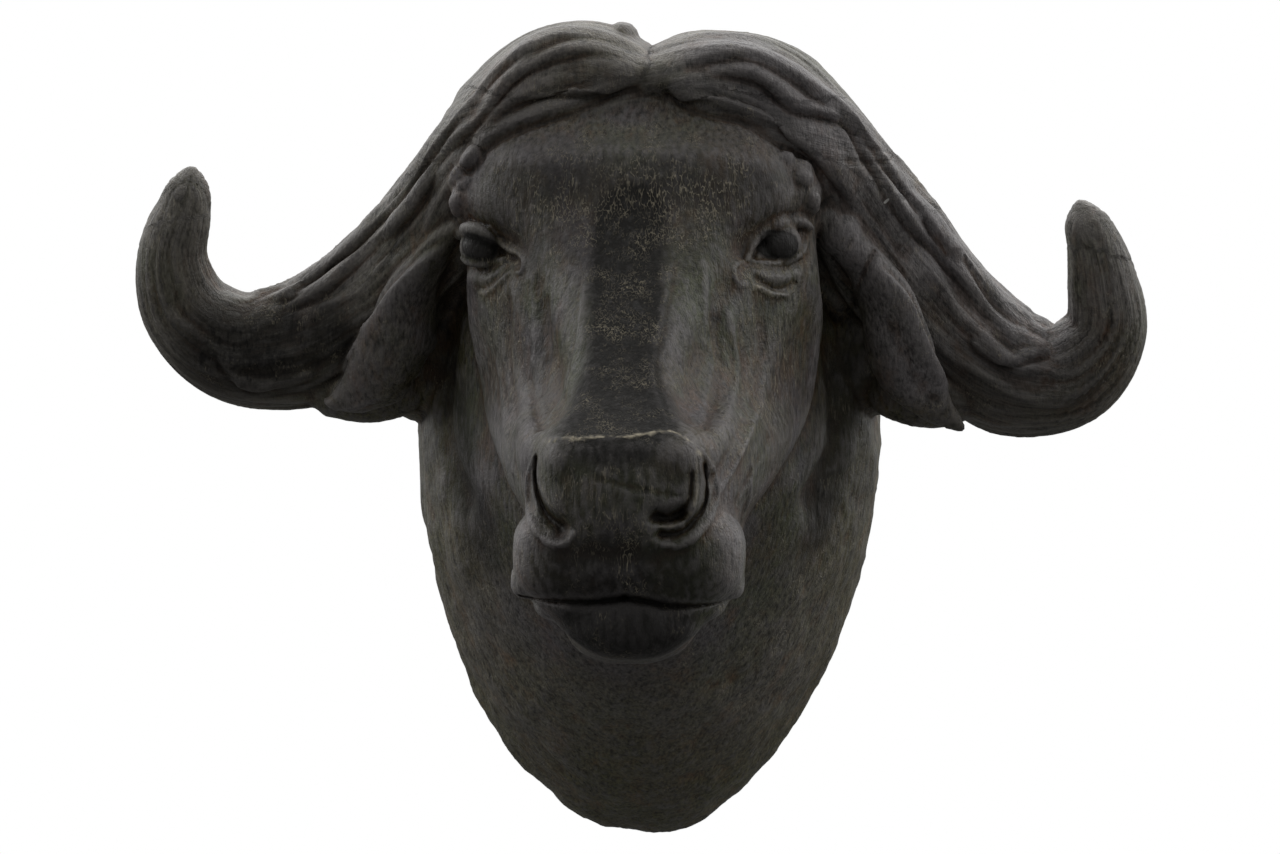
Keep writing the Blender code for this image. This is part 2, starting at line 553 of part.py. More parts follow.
def rolled(tree, roll):
    """A tapering roll of clay, laid half into the surface."""
    path = laid_in_front(tree, roll.line)
    half = np.linspace(roll.half_at_start, roll.half_at_end, len(path))
    return lofted(swept_rings(np.column_stack((path, half, half)), ROLL_POINTS, round_section))


def facetted(piece):
    """Keep a limited number of facets, most of them where the form turns fast."""
    triangles = sum(len(face.vertices) - 2 for face in piece.data.polygons)
    decimate = piece.modifiers.new("decimate", "DECIMATE")
    decimate.ratio = FACETS / triangles
    return baked(piece)


def trimmed(piece):
    """Cut the back flat along the wall plane and close it."""
    model = bmesh.new()
    model.from_mesh(piece.data)
    everything = model.verts[:] + model.edges[:] + model.faces[:]
    bmesh.ops.bisect_plane(model, geom=everything, dist=WALL_TOLERANCE, plane_co=(0, 0, 0), plane_no=(0, 1, 0),
                           clear_outer=True)
    rim = [edge for edge in model.edges if edge.is_boundary]
    bmesh.ops.contextual_create(model, geom=rim)
    bmesh.ops.remove_doubles(model, verts=model.verts[:], dist=SHORTEST_EDGE)
    bmesh.ops.triangulate(model, faces=model.faces[:])
    bmesh.ops.recalc_face_normals(model, faces=model.faces[:])
    model.to_mesh(piece.data)
    model.free()


def patina():
    """The finish of the whole casting."""
    material = bpy.data.materials.new("bronze_patina")
    material.use_nodes = True
    skin = material.node_tree.nodes["Principled BSDF"]
    skin.inputs["Base Color"].default_value = PATINA_COLOUR
    skin.inputs["Roughness"].default_value = PATINA_ROUGHNESS
    skin.inputs["Metallic"].default_value = 0.0
    return material


def main():
    """Empty the scene and model the head in it."""
    for item in list(bpy.data.objects):
        bpy.data.objects.remove(item)
    parts = bpy.data.collections.new("buffalo_head_wall_sculpture")
    bpy.context.scene.collection.children.link(parts)

    piece = merged([lofted(head_rings()), lofted(neck_rings())] + [laid_up(lump) for lump in MUZZLE],
                   FORM_VOXEL, FORM_SMOOTHING)
    stroked(piece, SIDE_FORMS, lambda tree, line: [laid_on_side(tree, line, side) for side in (-1.0, 1.0)])
    stroked(piece, FORMS, lambda tree, line: [laid_in_front(tree, line)])

    sweeps = [swept_rings(LEFT_HORN, HORN_POINTS, horn_section),
              swept_rings(RIGHT_HORN, HORN_POINTS, horn_section),
              swept_rings(LEFT_EAR, EAR_POINTS, ear_section(EAR_ROLL_BACK)),
              swept_rings(RIGHT_EAR, EAR_POINTS, ear_section(-EAR_ROLL_BACK))]
    shells = [piece] + [lofted(rings) for rings in sweeps] + [laid_up(lump) for lump in BEDS + KNOBS]
    piece = merged(shells, DETAIL_VOXEL, DETAIL_SMOOTHING)

    piece = joined([piece] + [laid_up(lump) for lump in EYEBALLS])
    tree = surface(piece)
    piece = merged([piece] + [rolled(tree, roll) for roll in ROLLS], DETAIL_VOXEL, DETAIL_SMOOTHING)
    folded(piece, FOLDS)
    pressed(piece, CUTS)
    trimmed(facetted(piece))

    piece.name = "buffalo_head"
    piece.data.name = "buffalo_head"
    piece.data.materials.append(patina())
    parts.objects.link(piece)


main()
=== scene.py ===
"""Finished looks of a buffalo head cast in one piece, which hangs on a wall by its flat back.

The clay is worked as a modeller would: main forms first, then lumps and rolls laid on, then creases
pressed in, then a relief of grain over the whole skin. The wall is the plane y = 0, the face looks
along -Y, and left and right are the viewer's. Sizes are in metres, and mm() takes rows of millimetres.
"""

import logging
import math
from dataclasses import dataclass, field
from enum import Enum
from typing import Callable, ClassVar, Sequence

import bmesh
import bpy
import numpy as np
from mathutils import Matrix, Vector
from mathutils.bvhtree import BVHTree


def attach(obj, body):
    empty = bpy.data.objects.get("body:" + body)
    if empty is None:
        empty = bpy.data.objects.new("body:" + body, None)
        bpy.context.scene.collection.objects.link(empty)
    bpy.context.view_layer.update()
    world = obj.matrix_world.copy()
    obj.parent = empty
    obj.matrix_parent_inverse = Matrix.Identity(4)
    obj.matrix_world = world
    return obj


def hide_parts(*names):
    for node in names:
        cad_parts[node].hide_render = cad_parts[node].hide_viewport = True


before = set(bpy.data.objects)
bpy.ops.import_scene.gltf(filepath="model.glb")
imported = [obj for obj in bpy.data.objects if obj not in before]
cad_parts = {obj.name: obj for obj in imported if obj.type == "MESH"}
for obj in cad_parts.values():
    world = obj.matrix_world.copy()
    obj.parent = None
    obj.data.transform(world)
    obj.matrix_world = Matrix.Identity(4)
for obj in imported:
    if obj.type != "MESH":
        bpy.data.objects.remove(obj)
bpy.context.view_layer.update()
NODE = "buffalo_head"
SLOT = "bronze_patina"

LOG = logging.getLogger("buffalo_head")

Row = tuple[float, ...]
Rows = tuple[Row, ...]
Array = np.ndarray

FAR = 9.0
REACH = 3.2


def mm(*rows: Row) -> Rows:
    """Rows of millimetres, in metres."""
    return tuple(tuple(value / 1000 for value in row) for row in rows)


def through(keys: Rows | Array, at: Array) -> Array:
    """A smooth curve through rows of place and values.

    Args:
        keys: Rows that each hold a place and the values there, in rising order.
        at: The places to read.

    Returns:
        One row of values for each place.
    """
    keys = np.asarray(keys, dtype=float)
    at = np.asarray(at, dtype=float)
    places = keys[:, 0]
    values = keys[:, 1:]
    slopes = np.gradient(values, places, axis=0)
    first = np.clip(np.searchsorted(places, at) - 1, 0, len(places) - 2)
    span = (places[first + 1] - places[first])[:, None]
    part = np.clip((at - places[first])[:, None] / span, 0.0, 1.0)
    start = (1 + 2 * part) * (1 - part) ** 2 * values[first] + part * (1 - part) ** 2 * span * slopes[first]
    end = part ** 2 * (3 - 2 * part) * values[first + 1] - part ** 2 * (1 - part) * span * slopes[first + 1]
    return start + end


def lengths_along(points: Array) -> Array:
    """Distance from the first point to each point, measured along the line."""
    steps = np.linalg.norm(np.diff(points, axis=0), axis=1)
    return np.concatenate(([0.0], np.cumsum(steps)))


def resampled(points: Array, count: int) -> Array:
    """An open line cut into evenly long steps.

    Args:
        points: The line's points, one row each.
        count: How many points to return.

    Returns:
        The new points, one row each.
    """
    along = lengths_along(points)
    wanted = np.linspace(0.0, along[-1], count)
    return np.stack([np.interp(wanted, along, points[:, axis]) for axis in range(points.shape[1])], axis=1)


def smooth_step(low: float, high: float, values: Array) -> Array:
    """Zero below low, one above high, and an even ease between them."""
    part = np.clip((values - low) / (high - low), 0.0, 1.0)
    return part * part * (3 - 2 * part)


def lofted(name: str, rings: Array) -> bpy.types.Object:
    """A closed shell through rings of points.

    Args:
        name: The new object's name.
        rings: Array of rings by points by three.

    Returns:
        The shell, not linked to any collection.
    """
    around = rings.shape[1]
    model = bmesh.new()
    rows = [[model.verts.new(point) for point in ring] for ring in rings]
    for low, high in zip(rows[:-1], rows[1:]):
        for side in range(around):
            after = (side + 1) % around
            model.faces.new((low[side], low[after], high[after], high[side]))
    model.faces.new(rows[0][::-1])
    model.faces.new(rows[-1])
    bmesh.ops.recalc_face_normals(model, faces=model.faces)
    mesh = bpy.data.meshes.new(name)
    model.to_mesh(mesh)
    model.free()
    return bpy.data.objects.new(name, mesh)


Section = Callable[[float, float, float, Array], tuple[Array, Array]]


def swept(keys: Rows | Array, around: int, section: Section, rings: int = 96) -> tuple[Array, Array]:
    """Rings square to a middle line.

    Args:
        keys: Rows of x, y, z, half size seen from the front and half size seen from the side.
        around: Points in each ring.
        section: Gives a ring's two offsets from its half sizes, its place and the angles around.
        rings: How many rings.

    Returns:
        The rings, and the rows of middle line that they stand on.
    """
    keys = np.asarray(keys, dtype=float)
    along = lengths_along(keys[:, :3])
    places = np.linspace(0.0, along[-1], rings)
    rows = through(np.column_stack((along, keys)), places)
    upward, forward = ring_directions(rows[:, :3], places)
    turn = np.linspace(0.0, 2 * np.pi, around, endpoint=False)
    shells = []
    for row, place in enumerate(places):
        across, deep = section(rows[row, 3], rows[row, 4], place, turn)
        shells.append(rows[row, :3] + across[:, None] * upward[row] + deep[:, None] * forward[row])
    return np.array(shells), rows


def ring_directions(middle: Array, places: Array) -> tuple[Array, Array]:
    """The two directions that span each ring of a sweep.

    Args:
        middle: Points of the middle line.
        places: Length along the line at each point.

    Returns:
        Directions seen from the front, square to the line, and directions away from the viewer.
    """
    heading = np.gradient(middle, places, axis=0)
    heading /= np.linalg.norm(heading, axis=1)[:, None]
    upward = np.cross(heading, (0.0, 1.0, 0.0))
    upward /= np.linalg.norm(upward, axis=1)[:, None]
    return upward, np.cross(upward, heading)


def round_section(half_height: float, half_depth: float, place: float, turn: Array) -> tuple[Array, Array]:
    """A plain oval section."""
    return half_height * np.cos(turn), half_depth * np.sin(turn)


@dataclass(frozen=True)
class Lump:
    """An egg-shaped lump of clay, boxier as its fullness rises above 2."""

    middle: Row
    radii: Row
    fullness: float = 2.0

    def build(self) -> bpy.types.Object:
        """The lump as a closed mesh."""
        model = bmesh.new()
        bmesh.ops.create_uvsphere(model, u_segments=48, v_segments=32, radius=1.0)
        for vertex in model.verts:
            size = sum(abs(part) ** self.fullness for part in vertex.co) ** (1.0 / self.fullness)
            vertex.co /= size
        bmesh.ops.scale(model, vec=self.radii, verts=model.verts)
        bmesh.ops.translate(model, vec=self.middle, verts=model.verts)
        mesh = bpy.data.meshes.new("lump")
        model.to_mesh(mesh)
        model.free()
        return bpy.data.objects.new("lump", mesh)


class Look(Enum):
    """Where a line is drawn from: the front in x and z, or both sides in y and z."""

    FRONT = "front"
    SIDES = "sides"


@dataclass(frozen=True)
class Stroke:
    """A soft ridge (positive height) or hollow along a line on the surface."""

    height: float
    width: float
    line: Rows
    look: Look = Look.FRONT

    def push(self, points: Array, normals: Array, line: Array) -> Array:
        """Where each point goes, along its normal."""
        near = nearness(points, line, (self.width, self.width))[0]
        return (self.height * np.exp(-near ** 2))[:, None] * normals


@dataclass(frozen=True)
class Fold:
    """A crest that eases off on the left of its line and drops sharply on the right."""

    height: float
    width: float
    line: Rows
    sharpness: float = 0.22
    undercut: float = 0.35
    look: ClassVar[Look] = Look.FRONT

    def push(self, points: Array, normals: Array, line: Array) -> Array:
        """Where each point goes, along its normal."""
        near, along, side = nearness(points, line, (self.width, self.width))
        eased = smooth_step(0.0, 0.15, along) * smooth_step(0.0, 0.15, 1.0 - along)
        steep = np.exp(-(near / self.sharpness) ** 2)
        groove = self.undercut * np.exp(-((near - 2.2 * self.sharpness) / self.sharpness) ** 2)
        rise = np.where(side > 0, np.exp(-near ** 2), steep - groove)
        return (self.height * eased * rise)[:, None] * normals


@dataclass(frozen=True)
class Blend:
    """A line along which the skin is smoothed, as with a thumb."""

    width: float
    rounds: int
    line: Rows


@dataclass(frozen=True)
class Wash:
    """A line along which the patina is darker, rubbed, scuffed or flecked, or along which shade, sheen or
    highlights are painted.
    """

    strength: float
    width: float | tuple[float, float]
    line: Rows
    crispness: float = 4.0


@dataclass(frozen=True)
class Cut:
    """A crease pressed into the surface, with its depth and width at both ends."""

    depth: tuple[float, float]
    width: tuple[float, float]
    line: Rows
    look: Look = Look.FRONT

    def push(self, points: Array, normals: Array, line: Array) -> Array:
        """Where each point goes: straight back seen from the front, and inwards from the sides."""
        near, along = nearness(points, line, self.width)[:2]
        depth = (self.depth[0] + (self.depth[1] - self.depth[0]) * along) * np.exp(-near ** 2)
        return depth[:, None] * ((0.0, 1.0, 0.0) if self.look is Look.FRONT else -normals)


@dataclass(frozen=True)
class Roll:
    """A tapering roll of clay laid on the surface, with half its thickness at both ends."""

    half: tuple[float, float]
    line: Rows
    sink: float = 0.0

    def build(self, tree: BVHTree) -> bpy.types.Object:
        """The roll, laid on the surface that the tree holds."""
        path = laid(tree, self.line)[0]
        path[:, 1] += self.sink
        swell = np.sin(np.linspace(0.12, np.pi - 0.12, len(path))) ** 0.35
        half = np.linspace(self.half[0], self.half[1], len(path)) * swell
        return lofted("roll", swept(np.column_stack((path, half, half)), 16, round_section, 40)[0])


def laid(tree: BVHTree, line: Rows, look: Look = Look.FRONT) -> list[Array]:
    """A line laid on a surface.

    Args:
        tree: The surface.
        line: Points in x and z seen from the front, or in y and z seen from the sides.
        look: Where the line is seen from.

    Returns:
        The surface points of each line laid: one from the front, two from the sides.
    """
    keys = np.column_stack((np.arange(len(line)), line))
    fine = resampled(through(keys, np.linspace(0, len(line) - 1, 8 * len(line))), 7 * len(line))
    if look is Look.FRONT:
        casts = [[((across, -2.0, height), (0.0, 1.0, 0.0)) for across, height in fine]]
    else:
        casts = [[((2.0 * side, deep, height), (-side, 0.0, 0.0)) for deep, height in fine]
                 for side in (-1.0, 1.0)]
    lines = []
    for cast in casts:
        hits = [tree.ray_cast(Vector(start), Vector(heading))[0] for start, heading in cast]
        lines.append(np.array([tuple(hit) for hit in hits if hit is not None]))
    return lines


def nearness(points: Array, line: Array, widths: tuple[float, float]) -> tuple[Array, Array, Array]:
    """How close points are to a line.

    Args:
        points: The points to test.
        line: The line's points.
        widths: The line's width at its two ends.

    Returns:
        Each point's distance in widths (FAR beyond reach), its place along the line from 0 to 1, and
        its side of the line as the viewer sees it: 1 on the left of the way the line runs, or -1.
    """
    best = np.full(len(points), FAR)
    along = np.zeros(len(points))
    side = np.ones(len(points))
    reach = REACH * max(widths)
    inside = np.flatnonzero(np.all((points > line.min(axis=0) - reach) & (points < line.max(axis=0) + reach),
                                   axis=1))
    close = points[inside]
    nearest = np.full(len(close), FAR)
    places = np.zeros(len(close))
    hands = np.ones(len(close))
    count = len(line) - 1
    for step in range(count):
        run = line[step + 1] - line[step]
        part = np.clip((close - line[step]) @ run / max(run @ run, 1e-12), 0.0, 1.0)
        place = (step + part) / count
        gap = np.linalg.norm(close - line[step] - part[:, None] * run, axis=1)
        gap /= widths[0] + (widths[1] - widths[0]) * place
        better = gap < nearest
        nearest[better] = gap[better]
        places[better] = place[better]
        turned = run[0] * (close[:, 2] - line[step, 2]) - run[2] * (close[:, 0] - line[step, 0])
        hands[better] = np.where(turned[better] < 0.0, -1.0, 1.0)
    best[inside] = nearest
    along[inside] = places
    side[inside] = hands
    return best, along, side


class Clay:
    """One closed skin that is worked step by step."""

    def __init__(self, name: str) -> None:
        """An empty piece with the given name."""
        self.piece = bpy.data.objects.new(name, bpy.data.meshes.new(name))

    def join(self, lumps: Sequence[bpy.types.Object]) -> None:
        """Put lumps, which are used up, in the piece as shells of their own."""
        model = bmesh.new()
        model.from_mesh(self.piece.data)
        for lump in lumps:
            model.from_mesh(lump.data)
            spent = lump.data
            bpy.data.objects.remove(lump)
            bpy.data.meshes.remove(spent)
        model.to_mesh(self.piece.data)
        model.free()

    def add(self, lumps: Sequence[bpy.types.Object], voxel: float, smoothing: int) -> None:
        """Work lumps into one skin with the piece.

        Args:
            lumps: Closed shells, which are used up.
            voxel: How fine the new skin is.
            smoothing: How many times it is smoothed.
        """
        self.join(lumps)
        remesh = self.piece.modifiers.new("remesh", "REMESH")
        remesh.mode = "VOXEL"
        remesh.voxel_size = voxel
        smooth = self.piece.modifiers.new("smooth", "SMOOTH")
        smooth.factor = 0.5
        smooth.iterations = smoothing
        self.bake()

    def bake(self) -> None:
        """Work the piece's modifiers into its mesh."""
        scene = bpy.context.scene.collection
        scene.objects.link(self.piece)
        graph = bpy.context.evaluated_depsgraph_get()
        shaped = bpy.data.meshes.new_from_object(self.piece.evaluated_get(graph))
        spent = self.piece.data
        self.piece.modifiers.clear()
        self.piece.data = shaped
        scene.objects.unlink(self.piece)
        bpy.data.meshes.remove(spent)

    def tree(self) -> BVHTree:
        """The surface, for laying strokes on it."""
        model = bmesh.new()
        model.from_mesh(self.piece.data)
        tree = BVHTree.FromBMesh(model)
        model.free()
        return tree

    def read(self, what: str) -> Array:
        """The vertices' places ("co") or normals ("normal"), one row each."""
        values = np.empty(len(self.piece.data.vertices) * 3)
        self.piece.data.vertices.foreach_get(what, values)
        return values.reshape(-1, 3)

    def write(self, points: Array) -> None:
        """Put the vertices at new places."""
        self.piece.data.vertices.foreach_set("co", points.ravel())
        self.piece.data.update()

    def work(self, marks: Sequence[Stroke | Fold | Cut]) -> None:
        """Move the skin by strokes, folds or cuts, which are all laid on it as it is now."""
        tree = self.tree()
        points = self.read("co")
        normals = self.read("normal")
        moved = points.copy()
        for mark in marks:
            for line in laid(tree, mark.line, mark.look):
                moved += mark.push(points, normals, line)
        self.write(moved)

    def edge_ends(self) -> tuple[Array, Array]:
        """The two vertices of each edge."""
        ends = np.empty(len(self.piece.data.edges) * 2, dtype=np.int32)
        self.piece.data.edges.foreach_get("vertices", ends)
        first, second = ends.reshape(-1, 2).T
        return first, second

    def relaxed(self, points: Array, share: Array | float, rounds: int) -> Array:
        """Points drawn towards the middle of their neighbours.

        Args:
            points: The vertices' places.
            share: How far each goes in a round, from 0 to 1.
            rounds: How many rounds.

        Returns:
            The new places.
        """
        first, second = self.edge_ends()
        total = len(points)
        count = np.bincount(first, minlength=total) + np.bincount(second, minlength=total)
        share = np.broadcast_to(np.asarray(share, dtype=float), (total,))[:, None]
        for _ in range(rounds):
            middle = np.empty_like(points)
            for axis in range(3):
                middle[:, axis] = (np.bincount(first, points[second, axis], total)
                                   + np.bincount(second, points[first, axis], total))
            points = points + share * (middle / np.maximum(count, 1)[:, None] - points)
        return points

    def soften(self, blends: Sequence[Blend]) -> None:
        """Smooth the skin along lines seen from the front."""
        tree = self.tree()
        points = self.read("co")
        for one in blends:
            near = nearness(points, laid(tree, one.line)[0], (one.width, one.width))[0]
            points = self.relaxed(points, 0.6 * np.exp(-near ** 2), one.rounds)
        self.write(points)

    def store(self, name: str, values: Array) -> None:
        """Keep one number for each vertex as an attribute."""
        held = self.piece.data.attributes.get(name) or self.piece.data.attributes.new(name, "FLOAT", "POINT")
        held.data.foreach_set("value", np.ascontiguousarray(values, dtype=np.float32))

    def triangles(self) -> int:
        """How many triangles the skin has."""
        return sum(len(face.vertices) - 2 for face in self.piece.data.polygons)


@dataclass
class Skull:
    """The head from chin to crown, as level sections whose sizes change with height."""

    nose_profile: Rows = mm(
        (-215, -480), (-205, -530), (-185, -558), (-150, -572), (-125, -585), (-90, -596), (-50, -598),
        (-10, -590), (2, -572), (20, -547), (50, -513), (100, -467), (150, -426), (200, -396), (250, -380),
        (262, -375), (290, -354), (320, -336), (345, -326), (370, -300))
    bridge_half_width: Rows = mm(
        (-215, 12), (-185, 28), (-150, 42), (-125, 50), (-90, 48), (-50, 56), (-5, 56), (20, 40), (50, 34),
        (100, 42), (150, 52), (200, 60), (370, 50))
    face_half_width: Rows = mm(
        (-215, 22), (-205, 38), (-185, 56), (-166, 74), (-157, 88), (-148, 96), (-120, 100), (-88, 100),
        (-50, 128), (7, 158.5), (45, 167), (84, 173), (130, 176), (175, 174), (215, 176.5), (255, 170),
        (300, 155), (345, 125), (370, 90))
    cheek_depth: Rows = mm(
        (-225, -440), (-185, -480), (-150, -500), (-120, -500), (-88, -410), (-50, -345), (7, -300),
        (84, -285), (175, -285), (215, -275), (255, -245), (345, -190), (370, -170))
    cheek_fullness: Rows = (
        (-0.225, 2.0), (-0.15, 2.2), (-0.12, 2.3), (-0.088, 1.9), (-0.05, 1.45), (0.007, 1.12),
        (0.084, 1.1), (0.13, 1.25), (0.175, 1.5), (0.215, 2.1), (0.37, 2.2))
    cheek_drift: Rows = mm(
        (-225, 4), (-120, 7), (-50, 8), (7, 10), (45, 11), (84, 9), (130, 7), (200, 0), (370, 0))
    jaw_back: Rows = mm(
        (-225, -400), (-185, -340), (-150, -300), (-100, -220), (-50, -160), (0, -120), (100, -100),
        (370, -100))
    crown: float = 0.08

    def half_section(self, nose: float, bridge: float, width: float, depth: float, fullness: float,
                     back: float) -> Array:
        """One side of a level section, from the middle of the nose to the middle of the nape."""
        front = np.linspace(0.0, 1.0, 8)[:-1]
        turn = np.linspace(0.0, np.pi / 2, 24)
        rear = np.linspace(0.0, np.pi / 2, 12)[1:]
        crown = self.crown * bridge
        bridge_line = np.stack((bridge * front, nose + crown * front ** 2), axis=1)
        cheek_line = np.stack((bridge + (width - bridge) * np.sin(turn) ** (2.0 / fullness),
                               depth - (depth - nose - crown) * np.cos(turn) ** (2.0 / fullness)), axis=1)
        back_line = np.stack((width * np.cos(rear) ** 0.7, depth + (back - depth) * np.sin(rear)), axis=1)
        return resampled(np.concatenate((bridge_line, cheek_line, back_line)), 90)

    def build(self) -> bpy.types.Object:
        """The head as a closed shell."""
        heights = np.linspace(self.nose_profile[0][0], self.nose_profile[-1][0], 150)
        curves = (self.nose_profile, self.bridge_half_width, self.face_half_width, self.cheek_depth,
                  self.cheek_fullness, self.jaw_back)
        sizes = np.column_stack([through(curve, heights) for curve in curves])
        drift = through(self.cheek_drift, heights)[:, 0]
        rings = []
        for row, height in enumerate(heights):
            half = self.half_section(*sizes[row])
            ring = np.concatenate((half, half[-2:0:-1] * (-1.0, 1.0)))
            ring[:, 0] += drift[row] * np.abs(ring[:, 0]) / sizes[row, 2]
            rings.append(np.column_stack((ring, np.full(len(ring), height))))
        return lofted("head", np.array(rings))


@dataclass
class Neck:
    """The neck, from its flat back on the wall to inside the head."""

    half_width: float = 0.247
    drop: float = 0.439
    rise: float = 0.285
    length: float = 0.32
    overrun: float = 0.03
    fullness: tuple[float, float] = (2.04, 1.82)
    side_taper: tuple[float, float] = (0.54, 2.3)
    throat_taper: tuple[float, float] = (0.58, 1.15)
    nape_swell: float = 0.16

    def build(self) -> bpy.types.Object:
        """The neck as a closed shell."""
        turn = np.linspace(0.0, 2 * np.pi, 120, endpoint=False)
        power = 2.0 / np.where(np.cos(turn) < 0, self.fullness[0], self.fullness[1])
        side = np.sign(np.cos(turn)) * np.abs(np.cos(turn)) ** power
        upright = np.sign(np.sin(turn)) * np.abs(np.sin(turn)) ** power
        rings = []
        for part in np.linspace(-self.overrun / self.length, 1.0, 36):
            depth = max(part, 0.0)
            width = self.half_width * (1.0 - self.side_taper[0] * depth ** self.side_taper[1])
            drop = self.drop * (1.0 - self.throat_taper[0] * depth ** self.throat_taper[1])
            rise = self.rise * (1.0 + self.nape_swell * depth)
            height = np.where(upright < 0, drop * upright, rise * upright)
            rings.append(np.column_stack((width * side, np.full(len(turn), -part * self.length), height)))
        return lofted("neck", np.array(rings))


@dataclass
class Horn:
    """A horn with its half of the boss, swept along a middle line, ridged by growth."""

    keys: Rows
    ridges: int = 12
    ridge_height: float = 0.0070
    boss_length: float = 0.30
    phase: float = 0.0

    def section(self, half_height: float, half_depth: float, place: float,
                turn: Array) -> tuple[Array, Array]:
        """An oval with wavy, sharp-crested ridges that run along the horn."""
        wander = (0.20 * np.sin(13.0 * place + 2.0 * turn + self.phase)
                  + 0.10 * np.sin(31.0 * place + 3.0 * turn + 2.0 * self.phase)
                  + 0.05 * np.sin(67.0 * place + 5.0 * turn))
        wave = 0.5 * self.ridges * (turn + wander)
        crest = 0.64 - np.abs(np.sin(wave))
        finer = 0.64 - np.abs(np.sin(2.3 * wave + 1.5 * np.sin(17.0 * place)))
        strength = 0.70 + 0.40 * np.sin(3.0 * turn + 9.0 * place + self.phase)
        calm = 0.45 + 0.55 * min(1.0, place / self.boss_length)
        ridge = self.ridge_height * (strength * crest * calm + 0.22 * finer)
        ridge *= min(1.0, half_height / 0.045) * (1.0 - 0.55 * float(smooth_step(0.50, 0.62, place)))
        return (half_height + ridge) * np.cos(turn), (half_depth + ridge) * np.sin(turn)

    def build(self) -> bpy.types.Object:
        """The horn as a closed shell."""
        return lofted("horn", swept(self.keys, 240, self.section, 260)[0])

    def coordinates(self, points: Array) -> tuple[Array, Array, Array]:
        """Where points lie on this horn.

        Args:
            points: The points to place.

        Returns:
            Length along the horn, angle around it, and how far out they lie as a share of its section.
        """
        keys = np.asarray(self.keys, dtype=float)
        total = lengths_along(keys[:, :3])
        places = np.linspace(0.0, total[-1], 90)
        rows = through(np.column_stack((total, keys)), places)
        upward, forward = ring_directions(rows[:, :3], places)
        nearest = np.full(len(points), np.inf)
        index = np.zeros(len(points), dtype=int)
        for step, middle in enumerate(rows[:, :3]):
            gap = np.sum((points - middle) ** 2, axis=1)
            better = gap < nearest
            nearest[better] = gap[better]
            index[better] = step
        away = points - rows[index, :3]
        across = np.sum(away * upward[index], axis=1)
        deep = np.sum(away * forward[index], axis=1)
        heading = np.cross(forward[index], upward[index])
        along = places[index] + np.sum(away * heading, axis=1)
        share = np.hypot(across / rows[index, 3], deep / rows[index, 4])
        return along, np.arctan2(deep, across), share


@dataclass
class Ear:
    """A drooping leaf that bulges towards the viewer and rolls back on the side of the cheek."""

    keys: Rows
    roll_back: float
    bulge: float = 0.22

    def section(self, half_width: float, half_thickness: float, place: float,
                turn: Array) -> tuple[Array, Array]:
        """A bent leaf section."""
        across = np.cos(turn)
        bend = self.bulge * (across ** 2 - 0.5) + self.roll_back * across
        return half_width * across, half_thickness * np.sin(turn) + half_width * bend

    def build(self) -> bpy.types.Object:
        """The ear as a closed shell."""
        return lofted("ear", swept(self.keys, 64, self.section, 72)[0])


@dataclass
class Eye:
    """An eyeball sunk between rolled lids, with its socket, its tear duct and the bag below."""

    middle: Row
    strokes: tuple[Stroke, ...]
    rolls: tuple[Roll, ...]
    cuts: tuple[Cut, ...]
    radius: float

    def build(self) -> bpy.types.Object:
        """The eyeball."""
        return Lump(self.middle, (self.radius,) * 3).build()


